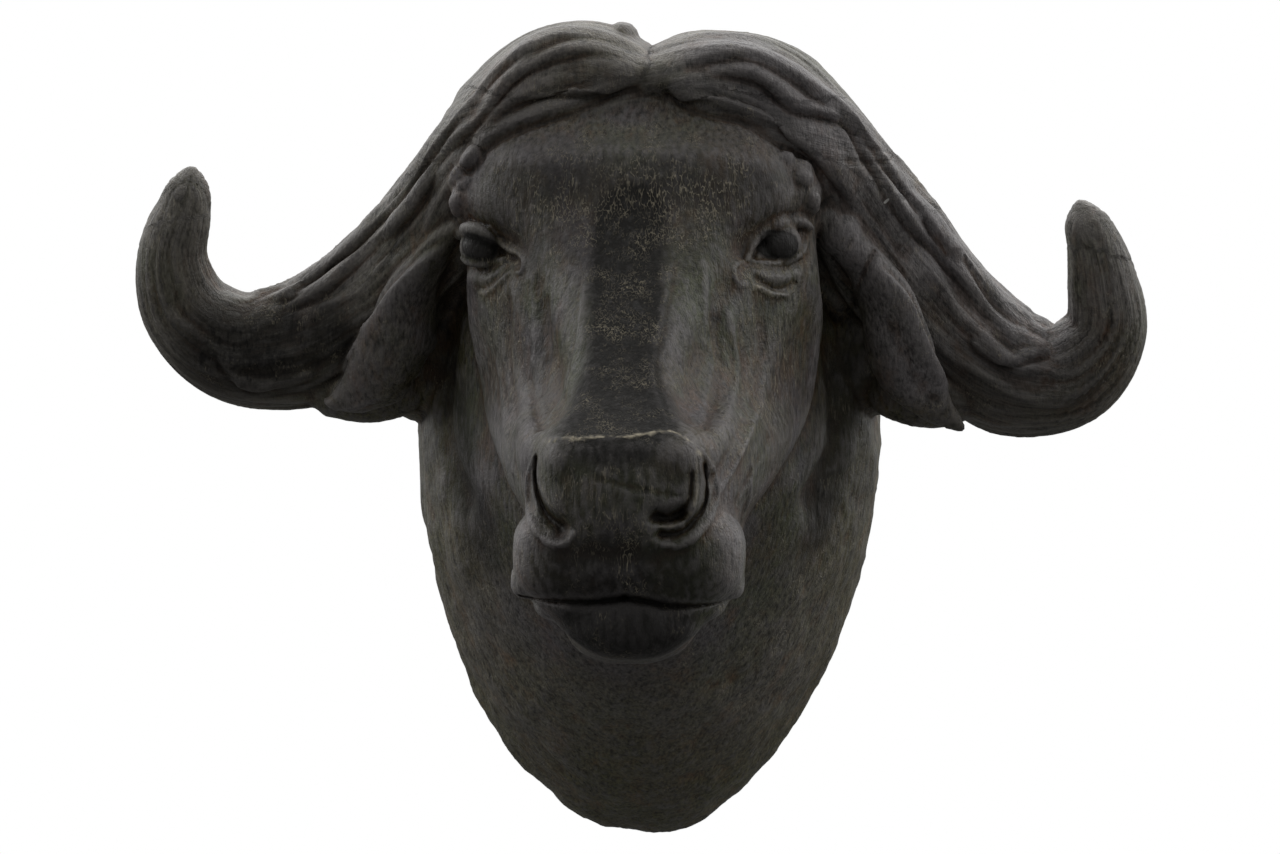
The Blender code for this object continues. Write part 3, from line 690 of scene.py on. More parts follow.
@dataclass
class Grain:
    """Geometry Nodes relief over the finished skin: growth veins on the horns, lumps and tool marks."""

    vein_height: float = 0.0016
    vein_count: float = 5.0
    vein_stretch: float = 7.0
    lump_height: float = 0.0070
    gouge_height: float = 0.0026
    lump_size: float = 0.060
    mark_height: float = 0.0012
    mark_scale: Row = (170.0, 170.0, 45.0)
    gouge_scale: Row = (20.0, 20.0, 7.0)
    seed: float = 4.0

    def tree(self) -> bpy.types.NodeTree:
        """The node tree, with a named input for each size."""
        tree = bpy.data.node_groups.new("clay_relief", "GeometryNodeTree")
        face = tree.interface
        face.new_socket("Geometry", in_out="INPUT", socket_type="NodeSocketGeometry")
        for name, value in self.inputs().items():
            socket = face.new_socket(name, in_out="INPUT", socket_type="NodeSocketFloat")
            socket.default_value = value
        face.new_socket("Material", in_out="INPUT", socket_type="NodeSocketMaterial")
        face.new_socket("Geometry", in_out="OUTPUT", socket_type="NodeSocketGeometry")
        graph = Graph(tree)
        outputs = graph.node("NodeGroupInput").outputs
        given = {name: Value(graph, outputs[name]) for name in self.inputs()}
        horn = graph.attribute("horn")
        neck = graph.attribute("neck")
        around = graph.attribute("around")
        seed = given["Seed"]
        place = graph.vector(around.cosine() * given["Vein Count"], around.sine() * given["Vein Count"],
                             graph.attribute("along") * given["Vein Stretch"])
        fine = graph.noise(place, seed, scale=1.0, detail=3.0)
        vein = 1.0 - (fine * 2.0 - 1.0).absolute() * 2.2
        position = graph.node("GeometryNodeInputPosition").outputs["Position"]
        lump = graph.noise(position, seed, scale=1.0 / given["Lump Size"], detail=2.0) - 0.5
        mark = graph.noise(graph.scaled(position, self.mark_scale), seed, scale=1.0, detail=2.0) - 0.5
        gouge = graph.noise(graph.scaled(position, self.gouge_scale), seed, scale=1.0, detail=3.0) - 0.5
        total = (vein * horn * given["Vein Height"]
                 + gouge * (neck + 0.10) * given["Gouge Height"] * 2.0
                 + lump * (neck + 0.08) * given["Lump Height"] * 2.0
                 + mark * (1.0 - horn) * given["Mark Height"] * 2.0)
        normal = graph.node("GeometryNodeInputNormal").outputs["Normal"]
        offset = graph.node("ShaderNodeVectorMath", {"operation": "SCALE"}, {0: normal, "Scale": total})
        moved = graph.node("GeometryNodeSetPosition", {}, {"Geometry": outputs["Geometry"],
                                                           "Offset": offset.outputs["Vector"]})
        real = graph.node("GeometryNodeRealizeInstances", {}, {"Geometry": moved.outputs["Geometry"]})
        dressed = graph.node("GeometryNodeSetMaterial", {}, {"Geometry": real.outputs["Geometry"],
                                                             "Material": outputs["Material"]})
        graph.node("NodeGroupOutput", {}, {"Geometry": dressed.outputs["Geometry"]})
        return tree

    def inputs(self) -> dict[str, float]:
        """The tree's sizes, by the names of their sockets."""
        return {"Vein Height": self.vein_height, "Vein Count": self.vein_count,
                "Vein Stretch": self.vein_stretch, "Lump Height": self.lump_height,
                "Gouge Height": self.gouge_height, "Lump Size": self.lump_size,
                "Mark Height": self.mark_height, "Seed": self.seed}

    def apply(self, clay: Clay, material: bpy.types.Material) -> None:
        """Work the relief into the clay and give it its material."""
        tree = self.tree()
        modifier = clay.piece.modifiers.new("relief", "NODES")
        modifier.node_group = tree
        values: dict[str, object] = dict(self.inputs())
        values["Material"] = material
        for item in tree.interface.items_tree:
            if item.in_out == "INPUT" and item.name in values:
                modifier[item.identifier] = values[item.name]
        clay.bake()


class Graph:
    """A node tree that is filled by one call for each node."""

    def __init__(self, tree: bpy.types.NodeTree) -> None:
        """Fill the given tree."""
        self.tree = tree

    def node(self, kind: str, settings: dict[str, object] | None = None,
             sockets: dict[str | int, object] | None = None) -> bpy.types.Node:
        """Add one node.

        Args:
            kind: The node's type.
            settings: Properties, set before the sockets.
            sockets: Values or links by input name or number.

        Returns:
            The new node.
        """
        node = self.tree.nodes.new(kind)
        for name, value in (settings or {}).items():
            setattr(node, name, value)
        for name, value in (sockets or {}).items():
            self.connect(node.inputs[name], value)
        return node

    def connect(self, socket: bpy.types.NodeSocket, value: object) -> None:
        """Link or set one input."""
        if isinstance(value, Value):
            value = value.socket
        if isinstance(value, bpy.types.NodeSocket):
            self.tree.links.new(value, socket)
        else:
            socket.default_value = value

    def attribute(self, name: str) -> "Value":
        """A number kept on the mesh, in a geometry tree or a material."""
        if self.tree.type == "GEOMETRY":
            node = self.node("GeometryNodeInputNamedAttribute", {"data_type": "FLOAT"}, {"Name": name})
            return Value(self, node.outputs["Attribute"])
        node = self.node("ShaderNodeAttribute", {"attribute_name": name})
        return Value(self, node.outputs["Fac"])

    def vector(self, x: object, y: object, z: object) -> bpy.types.NodeSocket:
        """A vector from three numbers."""
        node = self.node("ShaderNodeCombineXYZ", {}, {"X": x, "Y": y, "Z": z})
        return node.outputs["Vector"]

    def scaled(self, vector: object, by: Row) -> bpy.types.NodeSocket:
        """A vector times another."""
        node = self.node("ShaderNodeVectorMath", {"operation": "MULTIPLY"}, {0: vector, 1: by})
        return node.outputs["Vector"]

    def noise(self, vector: object, seed: object, scale: object = 1.0, detail: float = 2.0,
              roughness: float = 0.5) -> "Value":
        """Soft noise from 0 to 1."""
        node = self.node("ShaderNodeTexNoise", {"noise_dimensions": "4D"},
                         {"Vector": vector, "W": seed, "Scale": scale, "Detail": detail,
                          "Roughness": roughness})
        return Value(self, node.outputs[0])

    def mixed(self, factor: object, first: object, second: object) -> bpy.types.NodeSocket:
        """Two colours mixed."""
        node = self.node("ShaderNodeMix", {"data_type": "RGBA"}, {0: factor, 6: first, 7: second})
        return node.outputs[2]


class Value:
    """A number in a node tree, on which Python's operators add Math nodes."""

    def __init__(self, graph: Graph, socket: bpy.types.NodeSocket) -> None:
        """Wrap a socket of the graph's tree."""
        self.graph = graph
        self.socket = socket

    def math(self, operation: str, *others: object, clamp: bool = False) -> "Value":
        """The value with a Math node applied to it and to the others."""
        sockets = {0: self}
        for place, other in enumerate(others):
            sockets[place + 1] = other
        node = self.graph.node("ShaderNodeMath", {"operation": operation, "use_clamp": clamp}, sockets)
        return Value(self.graph, node.outputs["Value"])

    def __add__(self, other: object) -> "Value":
        """Sum."""
        return self.math("ADD", other)

    __radd__ = __add__

    def __mul__(self, other: object) -> "Value":
        """Product."""
        return self.math("MULTIPLY", other)

    __rmul__ = __mul__

    def __sub__(self, other: object) -> "Value":
        """Difference."""
        return self.math("SUBTRACT", other)

    def __rsub__(self, other: object) -> "Value":
        """Difference from a plain number."""
        return (self * -1.0) + other

    def __rtruediv__(self, other: object) -> "Value":
        """A plain number over the value."""
        return self.math("POWER", -1.0) * other

    def absolute(self) -> "Value":
        """The value without its sign."""
        return self.math("ABSOLUTE")

    def sine(self) -> "Value":
        """Sine of an angle."""
        return self.math("SINE")

    def cosine(self) -> "Value":
        """Cosine of an angle."""
        return self.math("COSINE")

    def ramp(self, low: float, high: float) -> "Value":
        """Zero below low, one above high, straight between."""
        scale = 1.0 / (high - low)
        return self.math("MULTIPLY_ADD", scale, -low * scale, clamp=True)


@dataclass(frozen=True)
class Patina:
    """Dark bronze-look patina: brown, olive and grey in clouds, rust in hollows, tan rubbed on, with painted
    shade in creases and beside parts, and painted sheen and highlights on crests, edges and outer faces.
    """

    brown: Row = (0.056, 0.046, 0.030, 1.0)
    olive: Row = (0.046, 0.050, 0.024, 1.0)
    plum: Row = (0.074, 0.065, 0.072, 1.0)
    # pale grey for painted sheen and highlights, and for rubbed patina
    pale: Row = (0.170, 0.158, 0.158, 1.0)
    rust: Row = (0.090, 0.042, 0.018, 1.0)
    tan: Row = (0.400, 0.355, 0.260, 1.0)
    black: Row = (0.009, 0.008, 0.0065, 1.0)
    horn: Row = (0.182, 0.168, 0.134, 1.0)
    olive_tan: Row = (0.106, 0.097, 0.047, 1.0)
    filler: Row = (0.600, 0.590, 0.560, 1.0)
    chip: Row = (0.2440, -0.2700, 0.2210)
    chip_size: tuple[float, float] = (0.0034, 0.0013)
    chip_lean: float = math.radians(42.0)
    chip_depth: float = 0.060
    cloud_scale: float = 7.0
    veil_scale: float = 13.0
    grime_scale: float = 95.0
    patch_scale: float = 30.0
    pit_scale: float = 150.0
    fleck_scale: float = 330.0
    fleck_stretch: Row = (1.0, 1.0, 0.15)
    brush_scale: Row = (290.0, 290.0, 85.0)
    stain_scale: Row = (26.0, 26.0, 14.0)
    scratch_scale: Row = (520.0, 520.0, 110.0)
    striations_around: float = 11.0
    striations_along: float = 16.0
    roughness: float = 0.45
    specular: float = 0.35
    scratch_depth: float = 0.0024
    brush_contrast: float = 4.2
    striation_contrast: float = 3.4
    fleck_strength: float = 0.60

    def chipped(self, graph: "Graph", place: bpy.types.NodeSocket) -> "Value":
        """One where the skin has chipped off the pale filler: a short slanting patch on the right horn."""
        away = graph.node("ShaderNodeVectorMath", {"operation": "SUBTRACT"}, {0: place, 1: self.chip})
        parts = graph.node("ShaderNodeSeparateXYZ", {}, {0: away.outputs["Vector"]})
        aside = Value(graph, parts.outputs["X"])
        upward = Value(graph, parts.outputs["Z"])
        lean_sine, lean_cosine = math.sin(self.chip_lean), math.cos(self.chip_lean)
        along = (aside * lean_cosine + upward * lean_sine) * (1.0 / self.chip_size[0])
        across = (upward * lean_cosine - aside * lean_sine) * (1.0 / self.chip_size[1])
        deep = Value(graph, parts.outputs["Y"]) * (1.0 / self.chip_depth)
        return (along * along + across * across + deep * deep).ramp(1.3, 0.7)

    def ground(self, graph: "Graph", place: bpy.types.NodeSocket, veil: "Value", hair: "Value",
               striation: "Value") -> bpy.types.NodeSocket:
        """The colour under the dark washes and the painted shade.

        Args:
            graph: The material's nodes.
            place: Where each point lies on the piece.
            veil: Wide, soft clouds.
            hair: Fine brush marks, around zero.
            striation: Fine lines along the horns, around zero.

        Returns:
            Clouds of brown, olive and plum, with paler horns, rubbed skin, rust and brush marks.
        """
        horn = graph.attribute("horn")
        neck = graph.attribute("neck")
        cloud = graph.noise(place, 1.0, scale=self.cloud_scale, detail=4.0, roughness=0.6)
        stain = graph.noise(graph.scaled(place, self.stain_scale), 11.0, detail=5.0, roughness=0.7)
        base = graph.mixed(cloud.ramp(0.42, 0.60), self.brown, self.olive)
        base = graph.mixed(veil.ramp(0.47, 0.62) * 0.75, base, self.plum)
        base = graph.mixed(neck * 0.55, base, self.olive_tan)
        # horns paler, most on their crests: partly their own tone, partly painted sheen on the crests
        horn_tone_and_sheen = graph.attribute("ridge").ramp(0.0, 1.2) * 0.45 + veil.ramp(0.40, 0.62) * 0.35 + 0.20
        base = graph.mixed(horn * horn_tone_and_sheen, base, self.horn)
        # painted sheen and light along the rub lines, partly rubbed patina
        sheen_and_rub = graph.attribute("rub_and_sheen") * (veil.ramp(0.30, 0.60) * 0.5 + 0.6)
        base = graph.mixed(sheen_and_rub, base, self.pale)
        rust = stain.ramp(0.53, 0.68) * 0.45 + graph.attribute("hollow").ramp(0.10, 0.70) * 0.35
        base = graph.mixed(rust, base, self.rust)
        tone = (hair * (1.0 - horn * 0.4) * self.brush_contrast + (stain - 0.5) * (neck * 1.4 + 0.6)
                + striation * horn * self.striation_contrast + 1.0).math("MAXIMUM", 0.15)
        return graph.node("ShaderNodeVectorMath", {"operation": "SCALE"}, {0: base, "Scale": tone}).outputs[0]

    def flecks(self, graph: "Graph", place: bpy.types.NodeSocket, dark: "Value") -> "Value":
        """One on short upright dashes in patches, which the deepest washes and painted shade hide.

        Args:
            graph: The material's nodes.
            place: Where each point lies on the piece.
            dark: How dark the washes and the painted shade are.

        Returns:
            The flecks' strength from 0 to 1.
        """
        worm_place = graph.scaled(place, self.fleck_stretch)
        worm = graph.noise(worm_place, 3.0, scale=self.fleck_scale, detail=1.0)
        thread = 1.0 - (worm * 2.0 - 1.0).absolute() * 9.0
        patch = graph.noise(place, 4.0, scale=self.patch_scale, detail=4.0, roughness=0.75)
        wanted = graph.attribute("flecked") * 0.12
        bare = 1.0 - dark.ramp(1.05, 1.35) * 0.90
        return thread.ramp(0.1, 0.9) * (patch + wanted).ramp(0.54, 0.72) * bare

    def material(self, name: str) -> bpy.types.Material:
        """The finished material."""
        made = bpy.data.materials.new(name)
        made.use_nodes = True
        made.node_tree.nodes.clear()
        graph = Graph(made.node_tree)
        place = graph.node("ShaderNodeTexCoord").outputs["Object"]
        ridge = graph.attribute("ridge")
        horn = graph.attribute("horn")
        veil = graph.noise(place, 2.0, scale=self.veil_scale, detail=4.0, roughness=0.6)
        grime = graph.noise(place, 7.0, scale=self.grime_scale, detail=3.0, roughness=0.65)
        brush = graph.noise(graph.scaled(place, self.brush_scale), 10.0, detail=3.0, roughness=0.65)
        hair = brush - 0.5
        striation_place = graph.vector(graph.attribute("turn_x") * self.striations_around,
                                       graph.attribute("turn_y") * self.striations_around,
                                       graph.attribute("along") * self.striations_along)
        striation = graph.noise(striation_place, 9.0, detail=4.0, roughness=0.7) - 0.5
        base = self.ground(graph, place, veil, hair, striation)
        # dark washes, with painted shade beside the cheeks and under the boss, broken up by noise
        dark = graph.attribute("wash_and_shade") + (veil - 0.5) * 0.7 + (grime - 0.5) * 0.6 + hair * 0.9
        base = graph.mixed(dark.ramp(0.05, 0.95), base, self.black)
        base = graph.mixed(grime.ramp(0.48, 0.30) * 0.55, base, self.black)
        # black in the hollows: partly dark patina, partly painted shade in the creases
        base = graph.mixed(graph.attribute("hollow").ramp(0.4, 2.0) * 0.8, base, self.black)
        fleck = self.flecks(graph, place, dark)
        # pale on ridges and edges: partly worn patina, partly painted highlight
        wear_and_edge_highlight = ridge.ramp(0.40, 1.80) * 0.25 + graph.attribute("edge").ramp(0.05, 0.30) * 0.30
        calm = 1.0 - dark.ramp(0.3, 1.0) * 0.75
        base = graph.mixed(wear_and_edge_highlight * calm * (1.0 - horn * 0.3), base, self.pale)
        # tan flecks, and tan lines along edges that are partly rubbed wear, partly painted highlight
        tan_wear_and_highlight = fleck * self.fleck_strength + graph.attribute("scuff_and_highlight") * grime.ramp(0.38, 0.56)
        colour = graph.mixed(tan_wear_and_highlight.math("MINIMUM", 1.0), base, self.tan)
        colour = graph.mixed(self.chipped(graph, place), colour, self.filler)
        rough = (veil * 0.16 + (self.roughness - 0.08) + fleck * 0.15 + dark.ramp(0.2, 1.0) * 0.40
                 - dark.ramp(1.15, 1.50) * 0.50)
        scratch = graph.noise(graph.scaled(place, self.scratch_scale), 5.0, detail=2.0)
        pits = graph.noise(place, 6.0, scale=self.pit_scale, detail=3.0, roughness=0.7)
        height = scratch * 0.30 + pits * 0.50 + brush * 0.60 + striation * horn * 0.8 + fleck * 0.30
        bump = graph.node("ShaderNodeBump", {}, {"Strength": 1.0, "Distance": self.scratch_depth,
                                                 "Height": height})
        skin = graph.node("ShaderNodeBsdfPrincipled", {}, {
            "Base Color": colour, "Roughness": rough, "Metallic": 0.0, "IOR": 1.5,
            "Specular IOR Level": self.specular, "Normal": bump.outputs["Normal"]})
        graph.node("ShaderNodeOutputMaterial", {}, {"Surface": skin.outputs["BSDF"]})
        return made


class Side(Enum):
    """The two sides, as the viewer sees them."""

    LEFT = -1
    RIGHT = 1


@dataclass
class Sculpture:
    """The whole casting: its forms, the strokes on them and the order in which they are worked."""

    skull: Skull = field(default_factory=Skull)
    neck: Neck = field(default_factory=Neck)
    # x, y, z, half size from the front and half size from the side, from the boss to the tip
    horns: dict[Side, Horn] = field(default_factory=lambda: {
        Side.LEFT: Horn(keys=mm(
            (10, -245, 337, 36, 98), (-46, -245, 351, 48, 106), (-86, -243, 344, 49, 106),
            (-126, -235, 309, 54, 98), (-160, -218, 260, 57, 85), (-230, -180, 170, 63, 68),
            (-279, -158, 127, 63, 62), (-364, -145, 83, 63, 57), (-421, -155, 83, 56, 52),
            (-466, -180, 120, 45, 44), (-475, -205, 175, 34, 35), (-461, -218, 220, 26, 27),
            (-453, -224, 250, 15, 16), (-451, -226, 261, 4, 4))),
        Side.RIGHT: Horn(phase=1.7, keys=mm(
            (8, -245, 332, 36, 98), (70, -245, 342, 47, 106), (128, -238, 329, 49, 102),
            (170, -226, 289, 54, 92), (201, -206, 242, 60, 80), (240, -180, 188, 67, 68),
            (283, -162, 134, 65, 62), (328, -150, 88, 64, 59), (379, -147, 56, 62, 56),
            (434, -160, 56, 52, 50), (466, -185, 99, 40, 40), (461, -205, 145, 33, 34),
            (450, -218, 185, 25, 27), (440, -224, 211, 16, 18), (437, -226, 224, 4, 4)))})
    # x, y, z, half width and half thickness, from the root to the tip
    ears: tuple[Ear, ...] = (
        Ear(roll_back=0.35, keys=mm(
            (-172, -268, 200, 10, 16), (-193, -258, 186, 14, 18), (-211, -247, 157, 21, 20),
            (-229, -237, 126, 28, 19), (-240, -229, 88, 35, 17), (-258, -221, 57, 36, 15),
            (-281, -212, 37, 25, 12), (-302, -205, 27, 12, 9), (-316, -202, 23, 4, 5))),
        Ear(roll_back=-0.35, keys=mm(
            (205, -258, 186, 12, 14), (221, -252, 164, 18, 18), (244, -243, 127, 27, 20),
            (257, -235, 84, 32, 18), (270, -227, 52, 30, 15), (289, -216, 27, 22, 12),
            (308, -206, 10, 12, 9), (323, -199, -3, 4, 5))))
    # clay that joins ears and horns to the neck, and the nape
    beds: tuple[Lump, ...] = (
        Lump((-0.215, -0.115, 0.075), (0.085, 0.07, 0.07)),
        Lump((0.213, -0.115, 0.078), (0.08, 0.07, 0.068)),
        Lump((-0.17, -0.13, 0.15), (0.06, 0.065, 0.06)),
        Lump((0.18, -0.13, 0.15), (0.06, 0.065, 0.06)),
        Lump((-0.285, -0.155, 0.046), (0.07, 0.035, 0.04)),
        Lump((0.29, -0.16, 0.044), (0.065, 0.035, 0.044)),
        Lump((0.0, -0.13, 0.285), (0.11, 0.075, 0.06)))
    # pad, both lobes of the upper lip, the lip below the pad, the lower lip and the chin
    muzzle: tuple[Lump, ...] = (
        Lump((0.003, -0.546, -0.058), (0.072, 0.058, 0.056), 2.6),
        Lump((-0.045, -0.523, -0.113), (0.052, 0.055, 0.043), 3.0),
        Lump((0.055, -0.523, -0.114), (0.055, 0.055, 0.044), 3.0),
        Lump((0.004, -0.54, -0.108), (0.06, 0.046, 0.045)),
        Lump((0.006, -0.512, -0.162), (0.086, 0.05, 0.018), 2.2),
        Lump((0.008, -0.522, -0.17), (0.064, 0.052, 0.028), 2.4),
        Lump((0.008, -0.522, -0.176), (0.054, 0.052, 0.033), 2.1))
    # brow ridges, corners of the mouth, the lump on the crest and the roll before the right ear
    knobs: tuple[Lump, ...] = (
        Lump((-0.157, -0.306, 0.224), (0.023, 0.03, 0.028)),
        Lump((-0.148, -0.32, 0.251), (0.015, 0.016, 0.011)),
        Lump((-0.164, -0.304, 0.238), (0.014, 0.02, 0.013)),
        Lump((0.155, -0.306, 0.226), (0.025, 0.03, 0.026)),
        Lump((0.152, -0.318, 0.248), (0.022, 0.018, 0.012)),
        Lump((0.168, -0.296, 0.23), (0.013, 0.022, 0.02)),
        Lump((-0.08, -0.512, -0.137), (0.02, 0.036, 0.017), 3.0),
        Lump((0.089, -0.512, -0.138), (0.02, 0.036, 0.017), 3.0),
        Lump((-0.013, -0.272, 0.384), (0.013, 0.035, 0.012)),
        Lump((0.186, -0.262, 0.205), (0.019, 0.024, 0.019)),
        Lump((0.199, -0.262, 0.189), (0.022, 0.026, 0.022)),
        Lump((0.212, -0.256, 0.173), (0.019, 0.024, 0.019)))
    # the viewer's left eye, then the right one
    eyes: tuple[Eye, ...] = (
        Eye(
            middle=(-0.147, -0.331, 0.1735),
            radius=0.0212,
            strokes=(
                Stroke(-0.012, 0.025, mm((-166, 180), (-145, 176), (-120, 166))),
                Stroke(0.004, 0.008, mm((-162, 146), (-142, 142), (-124, 149)))),
            rolls=(
                Roll((0.0085, 0.006), mm((-177, 189), (-162, 190), (-147, 187), (-131, 177)), -0.0045),
                Roll((0.0045, 0.003), mm(
                    (-142, 190), (-130, 180), (-118, 170), (-107, 165), (-101, 155), (-104, 146),
                    (-111, 147)), -0.001),
                Roll((0.0038, 0.0034), mm(
                    (-168, 165), (-160, 158), (-148, 156), (-134, 158), (-118, 163)), -0.002),
                Roll((0.0022, 0.0026), mm((-150, 130), (-140, 129), (-127, 138), (-116, 148)))),
            cuts=(
                Cut((0.004, 0.007), (0.003, 0.003), mm(
                    (-172, 186), (-156, 185), (-142, 178), (-126, 168), (-112, 160))),
                Cut((0.003, 0.005), (0.003, 0.003), mm(
                    (-154, 136), (-141, 134), (-130, 142), (-119, 153))))),
        Eye(
            middle=(0.139, -0.332, 0.1745),
            radius=0.022,
            strokes=(
                Stroke(-0.014, 0.023, mm((152, 182), (133, 177), (114, 168))),
                Stroke(0.004, 0.008, mm((122, 146), (140, 142), (157, 148)))),
            rolls=(
                Roll((0.0044, 0.0074), mm(
                    (109, 157), (115, 174), (128, 188), (146, 196), (160, 197), (170, 192)), -0.004),
                Roll((0.0034, 0.004), mm(
                    (113, 156), (130, 155), (146, 157), (158, 164), (166, 176)), -0.001),
                Roll((0.0034, 0.003), mm((108, 158), (99, 152), (97, 142), (102, 132), (109, 137))),
                Roll((0.003, 0.0034), mm((117, 133), (132, 126), (148, 125)))),
            cuts=(
                Cut((0.007, 0.005), (0.003, 0.0035), mm(
                    (114, 161), (120, 176), (132, 188), (147, 195), (164, 191))),
                Cut((0.006, 0.006), (0.003, 0.004), mm((117, 141), (129, 133), (140, 131), (152, 137))),
                Cut((0.004, 0.004), (0.003, 0.003), mm((103, 152), (104, 142))))))
    # jaw line, cheek, temple and the hollow behind the cheek
    side_forms: tuple[Stroke, ...] = (
        Stroke(0.005, 0.022, mm((-480, -195), (-400, -165), (-330, -110), (-280, -50)), Look.SIDES),
        Stroke(-0.003, 0.045, mm((-290, 60), (-290, 0), (-310, -50)), Look.SIDES),
        Stroke(-0.006, 0.022, mm((-240, 215), (-250, 175), (-265, 140)), Look.SIDES),
        Stroke(-0.01, 0.018, mm((-205, 80), (-205, 0), (-235, -70)), Look.SIDES))
    # upper edge of the forehead, then cheek ridges and the hollows beside the bridge
    forms: tuple[Stroke, ...] = (
        Stroke(0.001, 0.01, mm((-150, 254), (-68, 255), (8, 261), (84, 256), (150, 250))),
        Stroke(0.004, 0.018, mm((-140, 110), (-108, 40), (-85, -20))),
        Stroke(0.004, 0.018, mm((145, 110), (120, 40), (98, -15))),
        Stroke(-0.006, 0.018, mm((-90, 130), (-70, 60), (-62, 10))),
        Stroke(-0.006, 0.018, mm((90, 130), (68, 60), (60, 10))))
    # below the pad, under the boss, both brows and the root of the right ear
    blends: tuple[Blend, ...] = (
        Blend(0.02, 16, mm((-64, -106), (-20, -112), (30, -112), (72, -106))),
        Blend(0.024, 30, mm(
            (-160, 262), (-137, 281), (-96, 300), (-53, 316), (-16, 331), (16, 338), (64, 314), (107, 302),
            (150, 278), (170, 262))),
        Blend(0.018, 14, mm((-138, 262), (-152, 244), (-164, 228), (-170, 210))),
        Blend(0.018, 14, mm((138, 264), (158, 246), (170, 230), (176, 208))),
        Blend(0.024, 20, mm((190, 214), (202, 182), (210, 150))))
    # rims under the boss, hollows by the ears and in the lip, then cheek wrinkles
    skin_strokes: tuple[Stroke, ...] = (
        Stroke(0.007, 0.016, mm((-137, 283), (-96, 303), (-53, 318), (-10, 332))),
        Stroke(0.007, 0.016, mm((20, 334), (64, 316), (107, 304), (150, 280))),
        Stroke(-0.008, 0.02, mm((-188, 145), (-195, 95), (-222, 45))),
        Stroke(-0.006, 0.016, mm((250, 95), (270, 55), (290, 30))),
        Stroke(-0.002, 0.01, mm((-46, -112), (-14, -114), (21, -114), (56, -110))),
        Stroke(-0.004, 0.012, mm((-24, -108), (10, -110))),
        Stroke(0.0024, 0.006, mm((69, 150), (71, 110), (69, 76))),
        Stroke(0.003, 0.006, mm((92, 104), (100, 49), (87, -6))),
        Stroke(-0.003, 0.006, mm((80, 100), (84, 50), (74, 0))),
        Stroke(-0.0024, 0.007, mm((118, 120), (124, 70), (116, 20))),
        Stroke(0.0034, 0.005, mm((118, 10), (104, -25), (88, -52))),
        Stroke(-0.003, 0.005, mm((108, 6), (94, -26), (80, -48))),
        Stroke(0.003, 0.005, mm((114, -36), (112, -62), (106, -82))),
        Stroke(0.0026, 0.006, mm((-92, 140), (-88, 100), (-88, 60))),
        Stroke(-0.003, 0.006, mm((-78, 115), (-74, 66), (-80, 30))),
        Stroke(-0.0028, 0.004, mm((-94, 44), (-84, 18), (-72, -2))),
        Stroke(-0.0024, 0.007, mm((-118, 120), (-116, 60), (-104, 10))),
        Stroke(0.0026, 0.006, mm((-128, 60), (-118, 10), (-102, -40))))
    # wings of the nostrils, edge of the pad, the right nostril's rim, brow mounds, left ear's tip
    rolls: tuple[Roll, ...] = (
        Roll((0.0025, 0.005), mm(
            (-74, -22), (-83, -44), (-83, -68), (-74, -88), (-60, -101), (-45, -100), (-39, -91))),
        Roll((0.0025, 0.005), mm((72, -18), (83, -40), (84, -66), (74, -87), (57, -102), (38, -102))),
        Roll((0.0018, 0.0018), mm((-62, -10), (-30, -10), (10, -9), (40, -4), (58, -10), (70, -22))),
        Roll((0.002, 0.0024), mm((69, -45), (67, -66), (58, -80), (46, -86), (34, -84))),
        Roll((0.011, 0.012), mm((-142, 259), (-158, 252)), 0.0075),
        Roll((0.012, 0.013), mm((-158, 246), (-167, 228)), 0.0075),
        Roll((0.011, 0.008), mm((-169, 226), (-172, 206)), 0.006),
        Roll((0.01, 0.011), mm((138, 259), (152, 253)), 0.0065),
        Roll((0.012, 0.013), mm((155, 247), (165, 230)), 0.007),
        Roll((0.0105, 0.008), mm((168, 227), (172, 208)), 0.006),
        Roll((0.004, 0.0028), mm((-318, 26), (-298, 20), (-274, 25), (-250, 33))),
        Roll((0.003, 0.004), mm((-283, 84), (-296, 60), (-310, 38), (-318, 26))))
    # crests of the boss and horns, edges of the ears and of the bridge
    folds: tuple[Fold, ...] = (
        Fold(0.0065, 0.018, mm(
            (-409, 126), (-356, 137), (-312, 166), (-269, 199), (-233, 224), (-210, 253), (-180, 287),
            (-151, 312), (-127, 340), (-96, 362), (-63, 373), (-16, 372))),
        Fold(0.006, 0.016, mm(
            (-389, 117), (-332, 132), (-302, 156), (-256, 189), (-218, 221), (-203, 247), (-173, 281),
            (-143, 301), (-119, 333), (-85, 351), (-45, 360), (-3, 351))),
        Fold(0.006, 0.016, mm((-148, 287), (-115, 314), (-83, 321), (-53, 320), (-10, 327))),
        Fold(0.0065, 0.018, mm(
            (-192, 223), (-163, 252), (-137, 277), (-96, 295), (-53, 311), (-16, 327), (16, 336))),
        Fold(0.0065, 0.018, mm(
            (26, 336), (55, 348), (102, 355), (145, 340), (189, 310), (228, 270), (279, 210), (335, 147),
            (380, 102))),
        Fold(0.0065, 0.016, mm(
            (64, 342), (117, 335), (145, 314), (160, 305), (198, 298), (220, 269), (258, 213), (319, 151),
            (345, 109))),
        Fold(0.006, 0.016, mm(
            (31, 318), (64, 316), (102, 302), (136, 287), (174, 267), (203, 230), (220, 207))),
        Fold(0.0065, 0.018, mm((26, 331), (64, 308), (107, 296), (150, 271), (174, 257), (191, 225))),
        Fold(0.005, 0.016, mm((-431, 78), (-403, 43), (-365, 46), (-326, 58))),
        Fold(0.006, 0.014, mm((328, 92), (345, 75), (370, 65), (410, 77))),
        Fold(0.005, 0.014, mm((-179, 189), (-238, 141), (-264, 107), (-289, 82), (-306, 42))),
        Fold(0.005, 0.014, mm((310, 32), (284, 81), (264, 126), (229, 162))),
        Fold(0.0016, 0.01, mm((-38, 150), (-44, 80), (-54, 34), (-74, -4))),
        Fold(0.0016, 0.01, mm((44, -4), (26, 48), (32, 95), (40, 160))))
